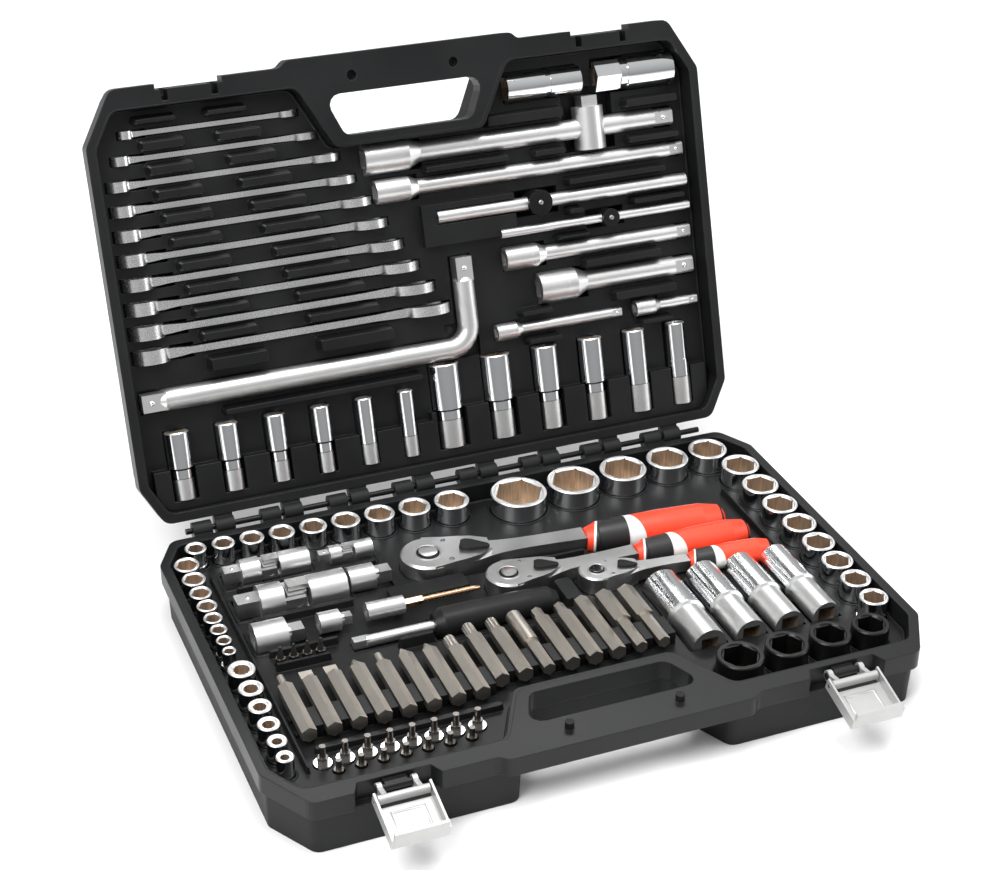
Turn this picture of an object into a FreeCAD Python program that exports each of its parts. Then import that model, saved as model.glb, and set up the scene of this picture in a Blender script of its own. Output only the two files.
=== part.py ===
import FreeCAD, Part
import Sketcher
import math
import os

V = FreeCAD.Vector
Sketch = Sketcher.Constraint
doc = FreeCAD.newDocument("wrench_set")

# ---------------------------------------------------------------- dimensions
# Millimetres and degrees. Origin: centre of the base's footprint on the
# floor, +X along the hinge, +Y towards the hinge, +Z up.
SIZES = [
    ("case_width", 470), ("case_depth", 310), ("base_height", 44), ("lid_height", 42),
    ("open_angle", 109.3), ("hinge_offset", 8), ("rim_gap", 0.2),
    ("front_cut_x", 22), ("front_cut_y", 38), ("back_cut_x", 15), ("back_cut_y", 28),
    ("flange_height", 14), ("flange_step", 3.5), ("rim_width", 7), ("front_rim", 15),
    ("shell_floor", 2.5),
    ("body_draft", 2), ("handle_out", 5), ("handle_half", 86), ("grip_half", 62),
    ("grip_hole_depth", 26), ("grip_bar", 27), ("peg_radius", 3), ("peg_height", 5),
    ("peg_spacing", 78), ("latch_x", 157.5), ("latch_recess_half", 24), ("recess_depth", 9),
    ("hinge_half", 206), ("knuckle_radius", 6), ("knuckle_length", 14), ("rod_radius", 2.2),
    ("knuckle_count", 8), ("running", 0.05),
    ("link_length", 12.5), ("link_angle", 10), ("link_closed", 66.5), ("lever_angle", 15),
    ("lever_half", 19), ("lever_wall", 1.5), ("lever_depth", 8.5), ("bar_radius", 2.5),
    ("tray_level", 30), ("tray_skin", 2), ("cup_wall", 1.4), ("cup_gap", 0.4),
    ("fit", 0.3), ("top_line", 45.5),
    ("half_wall", 3.2), ("quarter_wall", 2.0), ("impact_wall", 5.5), ("nose_factor", 1.22),
    ("half_square", 12.7), ("three_eighth_square", 9.53), ("quarter_square", 6.35),
    ("half_length", 38), ("three_eighth_length", 29), ("quarter_length", 25),
    ("impact_length", 38), ("half_deep_length", 77), ("three_eighth_deep_length", 64),
    ("quarter_deep_length", 50),
    ("ratchet_half_length", 228), ("ratchet_three_eighth_length", 190),
    ("ratchet_quarter_length", 134),
    ("ratchet_head", 20), ("ratchet_thickness", 22), ("grip_radius", 14),
    ("bit_across", 10), ("bit_length", 64), ("bit_pitch", 16.9), ("insert_across", 6.35),
    ("insert_length", 25), ("bit_socket_radius", 6), ("bit_socket_pitch", 14.9),
    ("lid_tray_level", 16), ("wrench_pitch", 17.4), ("wrench_depth", 19.5),
    ("half_bar", 6.5), ("three_eighth_bar", 5), ("quarter_bar", 3.25),
    ("head_slide", 8), ("corner_radius", 9), ("pad_top", 4), ("bend_radius", 17),
     ("pawl_rest", 4), ("thumb_rest", 22),
    ("half_boss", 12), ("three_eighth_boss", 9), ("quarter_boss", 6.3),
]

sheet = doc.addObject("Spreadsheet::Sheet", "P")
VALUE = {}
for row, (alias, number) in enumerate(SIZES, start=1):
    sheet.set("A%d" % row, alias)
    sheet.set("B%d" % row, str(number))
    sheet.setAlias("B%d" % row, alias)
    VALUE[alias] = float(number)
doc.recompute()


class Dim:
    """A length with its value and the sheet expression that gives it."""

    def __init__(self, value, text):
        self.v = value
        self.t = text

    def __add__(self, other):
        o = dim(other)
        return Dim(self.v + o.v, "(%s + %s)" % (self.t, o.t))

    def __radd__(self, other):
        return dim(other) + self

    def __sub__(self, other):
        o = dim(other)
        return Dim(self.v - o.v, "(%s - %s)" % (self.t, o.t))

    def __rsub__(self, other):
        return dim(other) - self

    def __mul__(self, other):
        o = dim(other)
        return Dim(self.v * o.v, "(%s * %s)" % (self.t, o.t))

    def __rmul__(self, other):
        return dim(other) * self

    def __truediv__(self, other):
        o = dim(other)
        return Dim(self.v / o.v, "(%s / %s)" % (self.t, o.t))

    def __neg__(self):
        return dim(0) - self


def dim(x):
    if isinstance(x, Dim):
        return x
    text = "%.6f" % float(x)
    return Dim(float(x), text if float(x) >= 0 else "(%s)" % text)


def root(x):
    return Dim(math.sqrt(x.v), "sqrt(%s)" % x.t)


def S(alias):
    return Dim(VALUE[alias], "P." + alias)


def put(obj, prop, x):
    """Set a property, bound to the sheet when the size comes from it."""
    x = dim(x)
    if "P." in x.t:
        obj.setExpression(prop, x.t)
    else:
        setattr(obj, prop, x.v)


def put_base(obj, at):
    for key, x in zip("xyz", at):
        x = dim(x)
        if "P." in x.t:
            obj.setExpression("Placement.Base." + key, x.t)


TURN = {
    "z": (V(0, 0, 1), 0), "x": (V(0, 1, 0), 90), "-x": (V(0, 1, 0), -90),
    "y": (V(1, 0, 0), -90), "-y": (V(1, 0, 0), 90), "-z": (V(1, 0, 0), 180),
}


def stand(obj, at, rotation):
    base = V(*[dim(x).v for x in at])
    obj.Placement = FreeCAD.Placement(base, rotation)
    put_base(obj, at)
    return obj


def cyl(r, length, at=(0, 0, 0), way="z"):
    o = doc.addObject("Part::Cylinder", "cylinder")
    put(o, "Radius", r)
    put(o, "Height", length)
    return stand(o, at, FreeCAD.Rotation(*TURN[way]))


def cone(r1, r2, length, at=(0, 0, 0), way="z"):
    o = doc.addObject("Part::Cone", "cone")
    put(o, "Radius1", r1)
    put(o, "Radius2", r2)
    put(o, "Height", length)
    return stand(o, at, FreeCAD.Rotation(*TURN[way]))


def ball(r, at=(0, 0, 0)):
    o = doc.addObject("Part::Sphere", "sphere")
    put(o, "Radius", r)
    return stand(o, at, FreeCAD.Rotation())


def hexagon(across, length, at=(0, 0, 0), way="z", spin=0, sides=6):
    """A hexagonal prism by its size across flats."""
    o = doc.addObject("Part::Prism", "prism")
    o.Polygon = sides
    put(o, "Circumradius", dim(across) * (0.5 / math.cos(math.pi / sides)))
    put(o, "Height", length)
    turn = FreeCAD.Rotation(*TURN[way]) * FreeCAD.Rotation(V(0, 0, 1), spin)
    return stand(o, at, turn)


def block(x0, x1, y0, y1, z0, z1):
    o = doc.addObject("Part::Box", "box")
    x0, x1, y0, y1, z0, z1 = [dim(q) for q in (x0, x1, y0, y1, z0, z1)]
    put(o, "Length", x1 - x0)
    put(o, "Width", y1 - y0)
    put(o, "Height", z1 - z0)
    return stand(o, (x0, y0, z0), FreeCAD.Rotation())


def square(side, length, at=(0, 0, 0), way="z"):
    """A square bar centred on its axis."""
    half = dim(side) / 2
    x, y, z = [dim(q) for q in at]
    n = dim(length)
    if way == "z":
        return block(x - half, x + half, y - half, y + half, z, z + n)
    if way == "-z":
        return block(x - half, x + half, y - half, y + half, z - n, z)
    if way == "x":
        return block(x, x + n, y - half, y + half, z - half, z + half)
    if way == "-x":
        return block(x - n, x, y - half, y + half, z - half, z + half)
    if way == "y":
        return block(x - half, x + half, y, y + n, z - half, z + half)
    return block(x - half, x + half, y - n, y, z - half, z + half)


def fuse(*parts):
    parts = list(parts)
    if len(parts) == 1:
        return parts[0]
    o = doc.addObject("Part::MultiFuse", "fusion")
    o.Shapes = parts
    return o


def cut(base, *tools):
    o = doc.addObject("Part::Cut", "cut")
    o.Base = base
    o.Tool = fuse(*tools)
    return o


def group(*parts):
    o = doc.addObject("Part::Compound", "group")
    o.Links = list(parts)
    return o


def outline(points, z0, height, taper=0):
    """A closed polygon sketch on the level z0, extruded upwards."""
    sk = doc.addObject("Sketcher::SketchObject", "sketch")
    n = len(points)
    pts = [(dim(x), dim(y)) for x, y in points]
    for i in range(n):
        a, b = pts[i], pts[(i + 1) % n]
        sk.addGeometry(Part.LineSegment(V(a[0].v, a[1].v, 0), V(b[0].v, b[1].v, 0)), False)
    for i in range(n):
        sk.addConstraint(Sketch("Coincident", i, 2, (i + 1) % n, 1))
    for i, (x, y) in enumerate(pts):
        for kind, q in (("DistanceX", x), ("DistanceY", y)):
            c = sk.addConstraint(Sketch(kind, -1, 1, i, 1, q.v))
            if "P." in q.t:
                sk.setExpression("Constraints[%d]" % c, q.t)
    stand(sk, (0, 0, z0), FreeCAD.Rotation())
    ex = doc.addObject("Part::Extrusion", "extrusion")
    ex.Base = sk
    ex.DirMode = "Custom"
    ex.Dir = V(0, 0, 1)
    ex.Solid = True
    put(ex, "LengthFwd", height)
    if taper:
        put(ex, "TaperAngle", taper)
    return ex


def turned(name, profile, way, at):
    """A PartDesign body turned about its axis from (along, radius) points."""
    body = doc.addObject("PartDesign::Body", name)
    sk = body.newObject("Sketcher::SketchObject", name + "_profile")
    plane = [f for f in body.Origin.OriginFeatures if f.Role == "XY_Plane"][0]
    axis = [f for f in body.Origin.OriginFeatures if f.Role == "X_Axis"][0]
    sk.AttachmentSupport = [(plane, "")]
    sk.MapMode = "FlatFace"
    pts = [(dim(a), dim(r)) for a, r in profile]
    n = len(pts)
    for i in range(n):
        a, b = pts[i], pts[(i + 1) % n]
        sk.addGeometry(Part.LineSegment(V(a[0].v, a[1].v, 0), V(b[0].v, b[1].v, 0)), False)
    for i in range(n):
        sk.addConstraint(Sketch("Coincident", i, 2, (i + 1) % n, 1))
    for i, (x, y) in enumerate(pts):
        for kind, q in (("DistanceX", x), ("DistanceY", y)):
            c = sk.addConstraint(Sketch(kind, -1, 1, i, 1, q.v))
            if "P." in q.t:
                sk.setExpression("Constraints[%d]" % c, q.t)
    rev = body.newObject("PartDesign::Revolution", name + "_turned")
    rev.Profile = sk
    rev.ReferenceAxis = (axis, [""])
    rev.Angle = 360
    body.Tip = rev
    x_to = {"x": FreeCAD.Rotation(), "z": FreeCAD.Rotation(V(0, 1, 0), -90)}
    return stand(body, at, x_to[way])


def rounded(points, radius, steps=4):
    """The polygon with each corner turned into a short-sided arc."""
    pts = [(dim(x), dim(y)) for x, y in points]
    n = len(pts)
    out = []
    for i in range(n):
        x, y = pts[i]
        p = V(x.v, y.v, 0)
        a = V(pts[i - 1][0].v, pts[i - 1][1].v, 0) - p
        b = V(pts[(i + 1) % n][0].v, pts[(i + 1) % n][1].v, 0) - p
        la, lb = a.Length, b.Length
        a.normalize()
        b.normalize()
        half = math.acos(max(-1.0, min(1.0, a.dot(b)))) / 2
        back = min(radius / math.tan(half), 0.42 * la, 0.42 * lb)
        r = back * math.tan(half)
        middle = (a + b).normalize() * (r / math.sin(half))
        first = a * back - middle
        last = b * back - middle
        sweep = first.getAngle(last)
        for k in range(steps + 1):
            w = k / float(steps)
            q = first * (math.sin((1 - w) * sweep) / math.sin(sweep))
            q = q + last * (math.sin(w * sweep) / math.sin(sweep)) + middle
            out.append((x + round(q.x, 5), y + round(q.y, 5)))
    return out


NODES = []


def node(name, obj, frame=None):
    """Name a finished sub-part and put it in the lid or at a tool's place."""
    if frame is not None and obj.TypeId in ("Part::Cylinder", "Part::Box"):
        obj = group(obj)
    obj.Label = name
    if frame == "lid":
        obj.Placement = FreeCAD.Placement(V(), FreeCAD.Rotation(V(1, 0, 0), 70))
        obj.setExpression("Placement.Base.y", "P.case_depth / 2 + P.hinge_offset")
        obj.setExpression("Placement.Base.z", "P.base_height")
        obj.setExpression("Placement.Rotation.Angle", "180 - P.open_angle")
    elif frame is not None:
        x, y, z, angle = frame
        stand(obj, (x, y, z), FreeCAD.Rotation(V(0, 0, 1), angle))
    NODES.append((name, obj))
    return obj


# ---------------------------------------------------------------- the case
HW = S("case_width") / 2
HD = S("case_depth") / 2
FX, FY, BX, BY = S("front_cut_x"), S("front_cut_y"), S("back_cut_x"), S("back_cut_y")
FN = root(FX * FX + FY * FY)
BN = root(BX * BX + BY * BY)


def ring(inset, notch=None, more=0):
    """The case's eight-sided outline moved in, with a notch for the handle.

    The front edge can be moved in by some more than the others.
    """
    i = dim(inset)
    e = dim(more)
    f = i + e
    end_f = FX + i * (FN - FX) / FY - e * FX / FY
    side_f = FY + i * (FN - FY) / FX
    side_b = BY + i * (BN - BY) / BX
    end_b = BX + i * (BN - BX) / BY
    pts = [(-HW + i, HD - side_b), (-HW + i, -HD + side_f), (-HW + end_f, -HD + f)]
    if notch:
        outer, inner, back = notch
        pts += [(-dim(outer), -HD + f), (-dim(inner), back), (dim(inner), back),
                (dim(outer), -HD + f)]
    pts += [(HW - end_f, -HD + f), (HW - i, -HD + side_f), (HW - i, HD - side_b),
            (HW - end_b, HD - i), (-HW + end_b, HD - i)]
    return pts


GH = S("grip_half")
HOLE_FRONT = -HD + S("grip_bar")
HOLE_BACK = HOLE_FRONT + S("grip_hole_depth")
BODY_NOTCH = (GH + 13, GH - 11, HOLE_BACK + 1)
ROOM_NOTCH = (GH + 19, GH - 5, HOLE_BACK + 8)
CORNER = S("corner_radius")
HH = S("handle_half")
FRONT_MORE = S("front_rim") - S("rim_width")


def flange_outline():
    pts = ring(0)
    front = [(-HH - 5, -HD), (-HH, -HD - S("handle_out")), (HH, -HD - S("handle_out")),
             (HH + 5, -HD)]
    return pts[:3] + front + pts[3:]


def recess(side, z0, height):
    c = S("latch_x") * side
    a, d = S("latch_recess_half"), S("recess_depth")
    return outline([(c - a - 5, -HD - 1), (c + a + 5, -HD - 1), (c + a, -HD + d),
                    (c - a, -HD + d)], z0, height)


HOLE = [(-GH, HOLE_FRONT - 4), (GH, HOLE_FRONT - 4), (GH - 13, HOLE_BACK),
        (-GH + 13, HOLE_BACK)]


def grip_hole(z0, height):
    return outline(rounded(HOLE, VALUE["corner_radius"] - 1), z0, height)


BH = S("base_height")
FH = S("flange_height")
AXIS_Y = HD + S("hinge_offset")
KR, KL, RR = S("knuckle_radius"), S("knuckle_length"), S("rod_radius")
count = int(VALUE["knuckle_count"])
PITCH = S("hinge_half") * 2 / count


def knuckle_x(k, lid):
    return -S("hinge_half") + PITCH * k + (KL + 7 if lid else dim(4))


# Base shell: a smooth flange on a drafted body, hollow, with the handle.
flange = outline(rounded(flange_outline(), CORNER.v), BH - FH, FH)
body = outline(rounded(ring(S("flange_step"), BODY_NOTCH), CORNER.v), BH - FH, BH - FH, 0)
body.DirMode = "Custom"
body.Dir = V(0, 0, -1)
put(body, "TaperAngle", -S("body_draft"))
ROOM = rounded(ring(S("rim_width"), ROOM_NOTCH, FRONT_MORE), CORNER.v)
room = outline(ROOM, S("shell_floor"), BH)
knuckles = []
bores = []
for k in range(count):
    x = knuckle_x(k, False)
    knuckles.append(cyl(KR, KL, (x, AXIS_Y, BH), "x"))
    knuckles.append(block(x, x + KL, HD - 2, AXIS_Y, BH - KR, BH - 0.5))
    bores.append(cyl(RR + S("running"), KL + 2, (x - 1, AXIS_Y, BH), "x"))
bars = []
BAR_Y = -HD + 4
BAR_Z = BH - 5
for side in (-1, 1):
    c = S("latch_x") * side
    bars.append(block(c - 7.5, c + 7.5, BAR_Y, -HD + S("recess_depth") + 0.5, BAR_Z - 2.5,
                      BAR_Z + 2.5))
    bars.append(cyl(S("bar_radius"), 28, (c - 14, BAR_Y, BAR_Z), "x"))
pegs = [cyl(S("peg_radius"), S("peg_height") + 1, (S("peg_spacing") / 2 * s, -HD + 11, BH - 1))
        for s in (-1, 1)]
shell = cut(fuse(flange, body), room, grip_hole(BH - FH - 5, FH + 10),
            recess(-1, BH - FH, FH + 1), recess(1, BH - FH, FH + 1))
node("base_shell", cut(fuse(shell, *(knuckles + bars + pegs)), *bores))

# Hinge rod along the whole hinge.
node("hinge_rod", cyl(RR, S("hinge_half") * 2 + 2, (-S("hinge_half") - 1, AXIS_Y, BH), "x"))

# Lid shell, drawn open side up with the hinge axis along X at the origin.
# Its local Y is the distance from the hinge, so the outline is mirrored.
LH = S("lid_height")
SHIFT = AXIS_Y


def flip(points):
    """From the base's plan to the lid's plan, where Y runs from the hinge."""
    out = [(x, SHIFT - y) for x, y in points]
    out.reverse()
    return out


def lid_outline(points, z0, height):
    return outline(flip(points), z0, height)


RIM = -S("rim_gap")
lid_flange = lid_outline(rounded(flange_outline(), CORNER.v), RIM - FH, FH)
lid_body = lid_outline(rounded(ring(S("flange_step"), BODY_NOTCH), CORNER.v), RIM - FH, LH - FH)
lid_body.Dir = V(0, 0, -1)
put(lid_body, "TaperAngle", -S("body_draft"))
lid_room = lid_outline(ROOM, RIM - LH + S("shell_floor"), LH)
lid_hole = lid_outline(rounded(HOLE, VALUE["corner_radius"] - 1), RIM - FH - 5, FH + 10)
FRONT_D = AXIS_Y + HD
catches = []
for side in (-1, 1):
    c = S("latch_x") * side
    a = S("latch_recess_half")
    catches.append(block(c - a, c + a, FRONT_D - 4, FRONT_D + 1, RIM - FH - 1, 1))
    for s in (-1, 1):
        n = c + (S("lever_half") - 1) * s
        catches.append(block(n - 2.5, n + 2.5, FRONT_D - 12, FRONT_D + 1, RIM - FH - 1, 1))
    # Slot for the lever's lip, which draws down on the wall under it.
    n = S("lever_half") + 0.7
    catches.append(block(c - n, c + n, FRONT_D - 8.6, FRONT_D + 1, RIM - FH - 3, RIM - FH + 0.1))
peg_holes = [cyl(S("peg_radius") + 0.6, S("peg_height") + 2,
                 (S("peg_spacing") / 2 * s, FRONT_D - 11, RIM - S("peg_height") - 1))
             for s in (-1, 1)]
lid_knuckles = []
lid_bores = []
for k in range(count):
    x = knuckle_x(k, True)
    lid_knuckles.append(cyl(KR, KL, (x, 0, 0), "x"))
    lid_knuckles.append(block(x, x + KL, 0, S("hinge_offset") + 2, -KR, RIM - 0.5))
    lid_bores.append(cyl(RR + S("running"), KL + 2, (x - 1, 0, 0), "x"))
lid_tub = cut(fuse(lid_flange, lid_body), lid_room, lid_hole, *(catches + peg_holes))
node("lid_shell", cut(fuse(lid_tub, *lid_knuckles), *lid_bores), "lid")

# ---------------------------------------------------------------- latches
# Each latch is a draw latch: a link turns on the base's bar, a pin joins it
# to the lever, and the lever's lip hooks over the lid's flange when shut.
# Drawn shut, seen from the pin: u outwards, v up; then turned to rest.
LL = S("link_length")
REACH = BH + FH + S("rim_gap") + 0.2 - (BAR_Z - LL * math.sin(math.radians(VALUE["link_closed"])))


def swing(obj, at, angle):
    stand(obj, at, FreeCAD.Rotation(V(1, 0, 0), angle))
    return obj


for side, word in ((-1, "left"), (1, "right")):
    c = S("latch_x") * side
    ca = math.cos(math.radians(VALUE["link_angle"]))
    sa = math.sin(math.radians(VALUE["link_angle"]))
    pin_y = BAR_Y - LL * ca
    pin_z = BAR_Z + LL * sa
    # Link along -Y from the bar at the origin.
    arms = []
    holes = []
    for s in (-1, 1):
        x0 = dim(10 if s > 0 else -13.3)
        arms.append(cyl(4.1, 3.3, (x0, 0, 0), "x"))
        arms.append(block(x0, x0 + 3.3, -LL, 0, -2.2, 2.2))
        holes.append(cyl(S("bar_radius") + S("running"), 5.3, (x0 - 1, 0, 0), "x"))
    barrel = cyl(3, 33.4, (-16.7, -LL, 0), "x")
    pin_hole = cyl(1.2 + S("running"), 40, (-20, -LL, 0), "x")
    link = cut(fuse(barrel, *arms), pin_hole, *holes)
    node("latch_link_" + word, swing(link, (c, BAR_Y, BAR_Z), -VALUE["link_angle"]))
    node("latch_pin_" + word, cyl(1.2, S("lever_half") * 2 + 1,
                                  (c - S("lever_half") - 0.5, pin_y, pin_z), "x"))
    # Lever standing up from the pin: web outside (-Y), rims towards the case.
    a, w, dp = S("lever_half"), S("lever_wall"), S("lever_depth")
    web = block(-a, a, -5, -3.5, 4, REACH + 2)
    rims = [block(-a, -a + w, -5, dp - 5, -3.5, REACH + 2),
            block(a - w, a, -5, dp - 5, -3.5, REACH + 2)]
    lip = block(-a + w, a - w, -5, 9, REACH, REACH + 2)
    pin_bore = cyl(1.2 + S("running"), a * 2 + 2, (-a - 1, 0, 0), "x")
    lever = cut(fuse(web, rims[0], rims[1], lip), pin_bore)
    node("latch_lever_" + word, swing(lever, (c, pin_y, pin_z), 90 + VALUE["lever_angle"]))

# ---------------------------------------------------------------- sockets
# Each tool adds its pocket to the tray as (outer wall, hollow).
base_cups = []
base_hollows = []
lid_cups = []
lid_hollows = []
W = S("cup_wall")
GAP = S("cup_gap")


def cup_round(cups, hollows, r, x, y, z0, z1):
    if dim(z1 - z0).v < 0.5:
        return
    cups.append(cyl(r + GAP + W, z1 - z0 + W, (x, y, z0 - W)))
    hollows.append(cyl(r + GAP, z1 - z0 + 30, (x, y, z0 - 0.01)))


def cup_box(cups, hollows, x0, x1, y0, y1, z0, z1, wall=None):
    w = W if wall is None else wall
    x0, x1, y0, y1, z0, z1 = [dim(q) for q in (x0, x1, y0, y1, z0, z1)]
    hollows.append(block(x0, x1, y0, y1, z0, z0 + 60))
    if z1.v - z0.v >= 0.2:
        cups.append(block(x0 - w, x1 + w, y0 - w, y1 + w, z0 - w, z1))


def nose(across, wall):
    """Outer radius of a socket's nose from the size across flats."""
    return (dim(across) * S("nose_factor") + wall) / 2


def socket(across, drive, wall, length, at, way="z", star=False, body_r=None):
    """A socket standing on its square end: (solid, largest radius)."""
    nr = nose(across, wall)
    dr = dim(drive) * 0.86
    big = nr if nr.v >= dr.v else dr
    length = dim(length)
    x, y, z = [dim(q) for q in at]
    lip = cone(nr, nr - 0.7, 0.9, (0, 0, length - 0.9))
    if body_r is not None:
        outer = fuse(cyl(body_r, length * 0.46, (0, 0, 0)), cone(body_r, nr, 1.5, (0, 0,
                     length * 0.44)), cyl(nr, length * 0.56 - 2.4, (0, 0, length * 0.44 + 1.5)), lip)
    elif nr.v >= dr.v:
        outer = fuse(cyl(nr, length - 0.9, (0, 0, 0)), lip)
    else:
        outer = fuse(cyl(dr, length * 0.55, (0, 0, 0)), cyl(nr, length - 0.9, (0, 0, 0)), lip)
    tools = [square(drive, length * 0.42 + 1, (0, 0, -1)),
             cyl(dim(drive) * 0.45, length * 0.4, (0, 0, length * 0.3))]
    mouth = dim(across) * (0.5 if star else 0.55)
    tools.append(cone(mouth, mouth + 1.0, 1.21, (0, 0, length - 1.2)))
    if star:
        for spin in (0, 60):
            tools.append(hexagon(dim(across) * 0.8, length * 0.55, (0, 0, length * 0.55), "z",
                                 spin / 2.0))
    else:
        tools.append(hexagon(across, length, (0, 0, length * 0.55)))
    o = cut(outer, *tools)
    return stand(o, (x, y, z), FreeCAD.Rotation(*TURN[way])), big


TL = S("top_line")
LEVEL = S("tray_level")


def upright(sizes, drive, wall, length, start, step, gap, star=False, wide=None,
            side=None, back=None):
    """A row of standing sockets, packed by their radii along a direction.

    With side or back given, their outer edges line up there instead.
    """
    out = []
    x, y = start
    last = None
    for k, size in enumerate(sizes):
        n = dim(length) + (wide if wide is not None and size >= 24 else 0)
        r = nose(size, wall)
        dr = dim(drive) * 0.86
        big = r if r.v >= dr.v else dr
        if last is not None:
            x = x + (last + big + gap) * step[0]
            y = y + (last + big + gap) * step[1]
        if side is not None:
            x = side - big
        if back is not None:
            y = back - big
        z0 = TL - n
        o, b = socket(size, drive, wall, n, (x, y, z0), "z", star)
        out.append(o)
        cup_round(base_cups, base_hollows, b, x, y, z0, LEVEL)
        last = big
    return out, x, y


LEFT = -HW + 17.7
RIGHT = HW - 19.5
BACK = HD - 20
FRONT = -HD + 38.5
half = []
row, x, y = upright((32, 30, 27, 24, 22), S("half_square"), S("half_wall"),
                    S("half_length"), (HW - 196.5, BACK - 9), (1, 0), 4.2, wide=2, back=HD - 7.8)
half += row
row, x, y = upright((21, 20, 19, 18, 17, 16, 15, 14), S("half_square"), S("half_wall"),
                    S("half_length"), (RIGHT, BACK - 33), (0, -1), 2.6, side=HW - 7.8)
half += row
node("sockets_half", group(*half))
row, x, y = upright((10, 11, 12, 13, 14, 15, 16, 17, 19), S("three_eighth_square"),
                    S("half_wall"), S("three_eighth_length"), (-HW + 29, BACK + 3),
                    (1, 0), 3.8, back=HD - 7.8)
node("sockets_three_eighth", group(*row))
row, x, y = upright((13, 12, 11, 10, 9, 8, 7, 6), S("quarter_square"), S("quarter_wall"),
                    S("quarter_length"), (LEFT, BACK - 14.5), (0, -1), 1.8)
node("sockets_quarter", group(*row))
row, x, y = upright((12.5, 11, 10, 9.5, 8, 7), S("quarter_square"), S("half_wall"),
                    S("quarter_length"), (LEFT + 2, BACK - 146), (0, -1), 4.3, star=True)
node("sockets_star", group(*row))
row, x, y = upright((22, 20, 19, 17), S("half_square"), S("impact_wall"),
                    S("impact_length"), (HW - 137.5, FRONT), (1, 0), 4.0)
node("sockets_impact", group(*row))

# Four long sockets lying towards the front.
deep = []
x = HW - 142
last = None
for size in (21, 19, 18, 17):
    r = nose(size, S("half_wall"))
    if last is not None:
        x = x + last + r + 4.2
    z = TL - r - 0.3
    n = S("half_deep_length")
    o, b = socket(size, S("half_square"), S("half_wall"), n, (x, FRONT + 34, z), "y",
                  body_r=r - 1.6)
    deep.append(o)
    cup_box(base_cups, base_hollows, x - r - GAP, x + r + GAP, FRONT + 33.5,
            FRONT + 34.5 + n, z - r - GAP, LEVEL)
    last = r
node("sockets_half_deep", group(*deep))

# ---------------------------------------------------------------- ratchets


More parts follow.
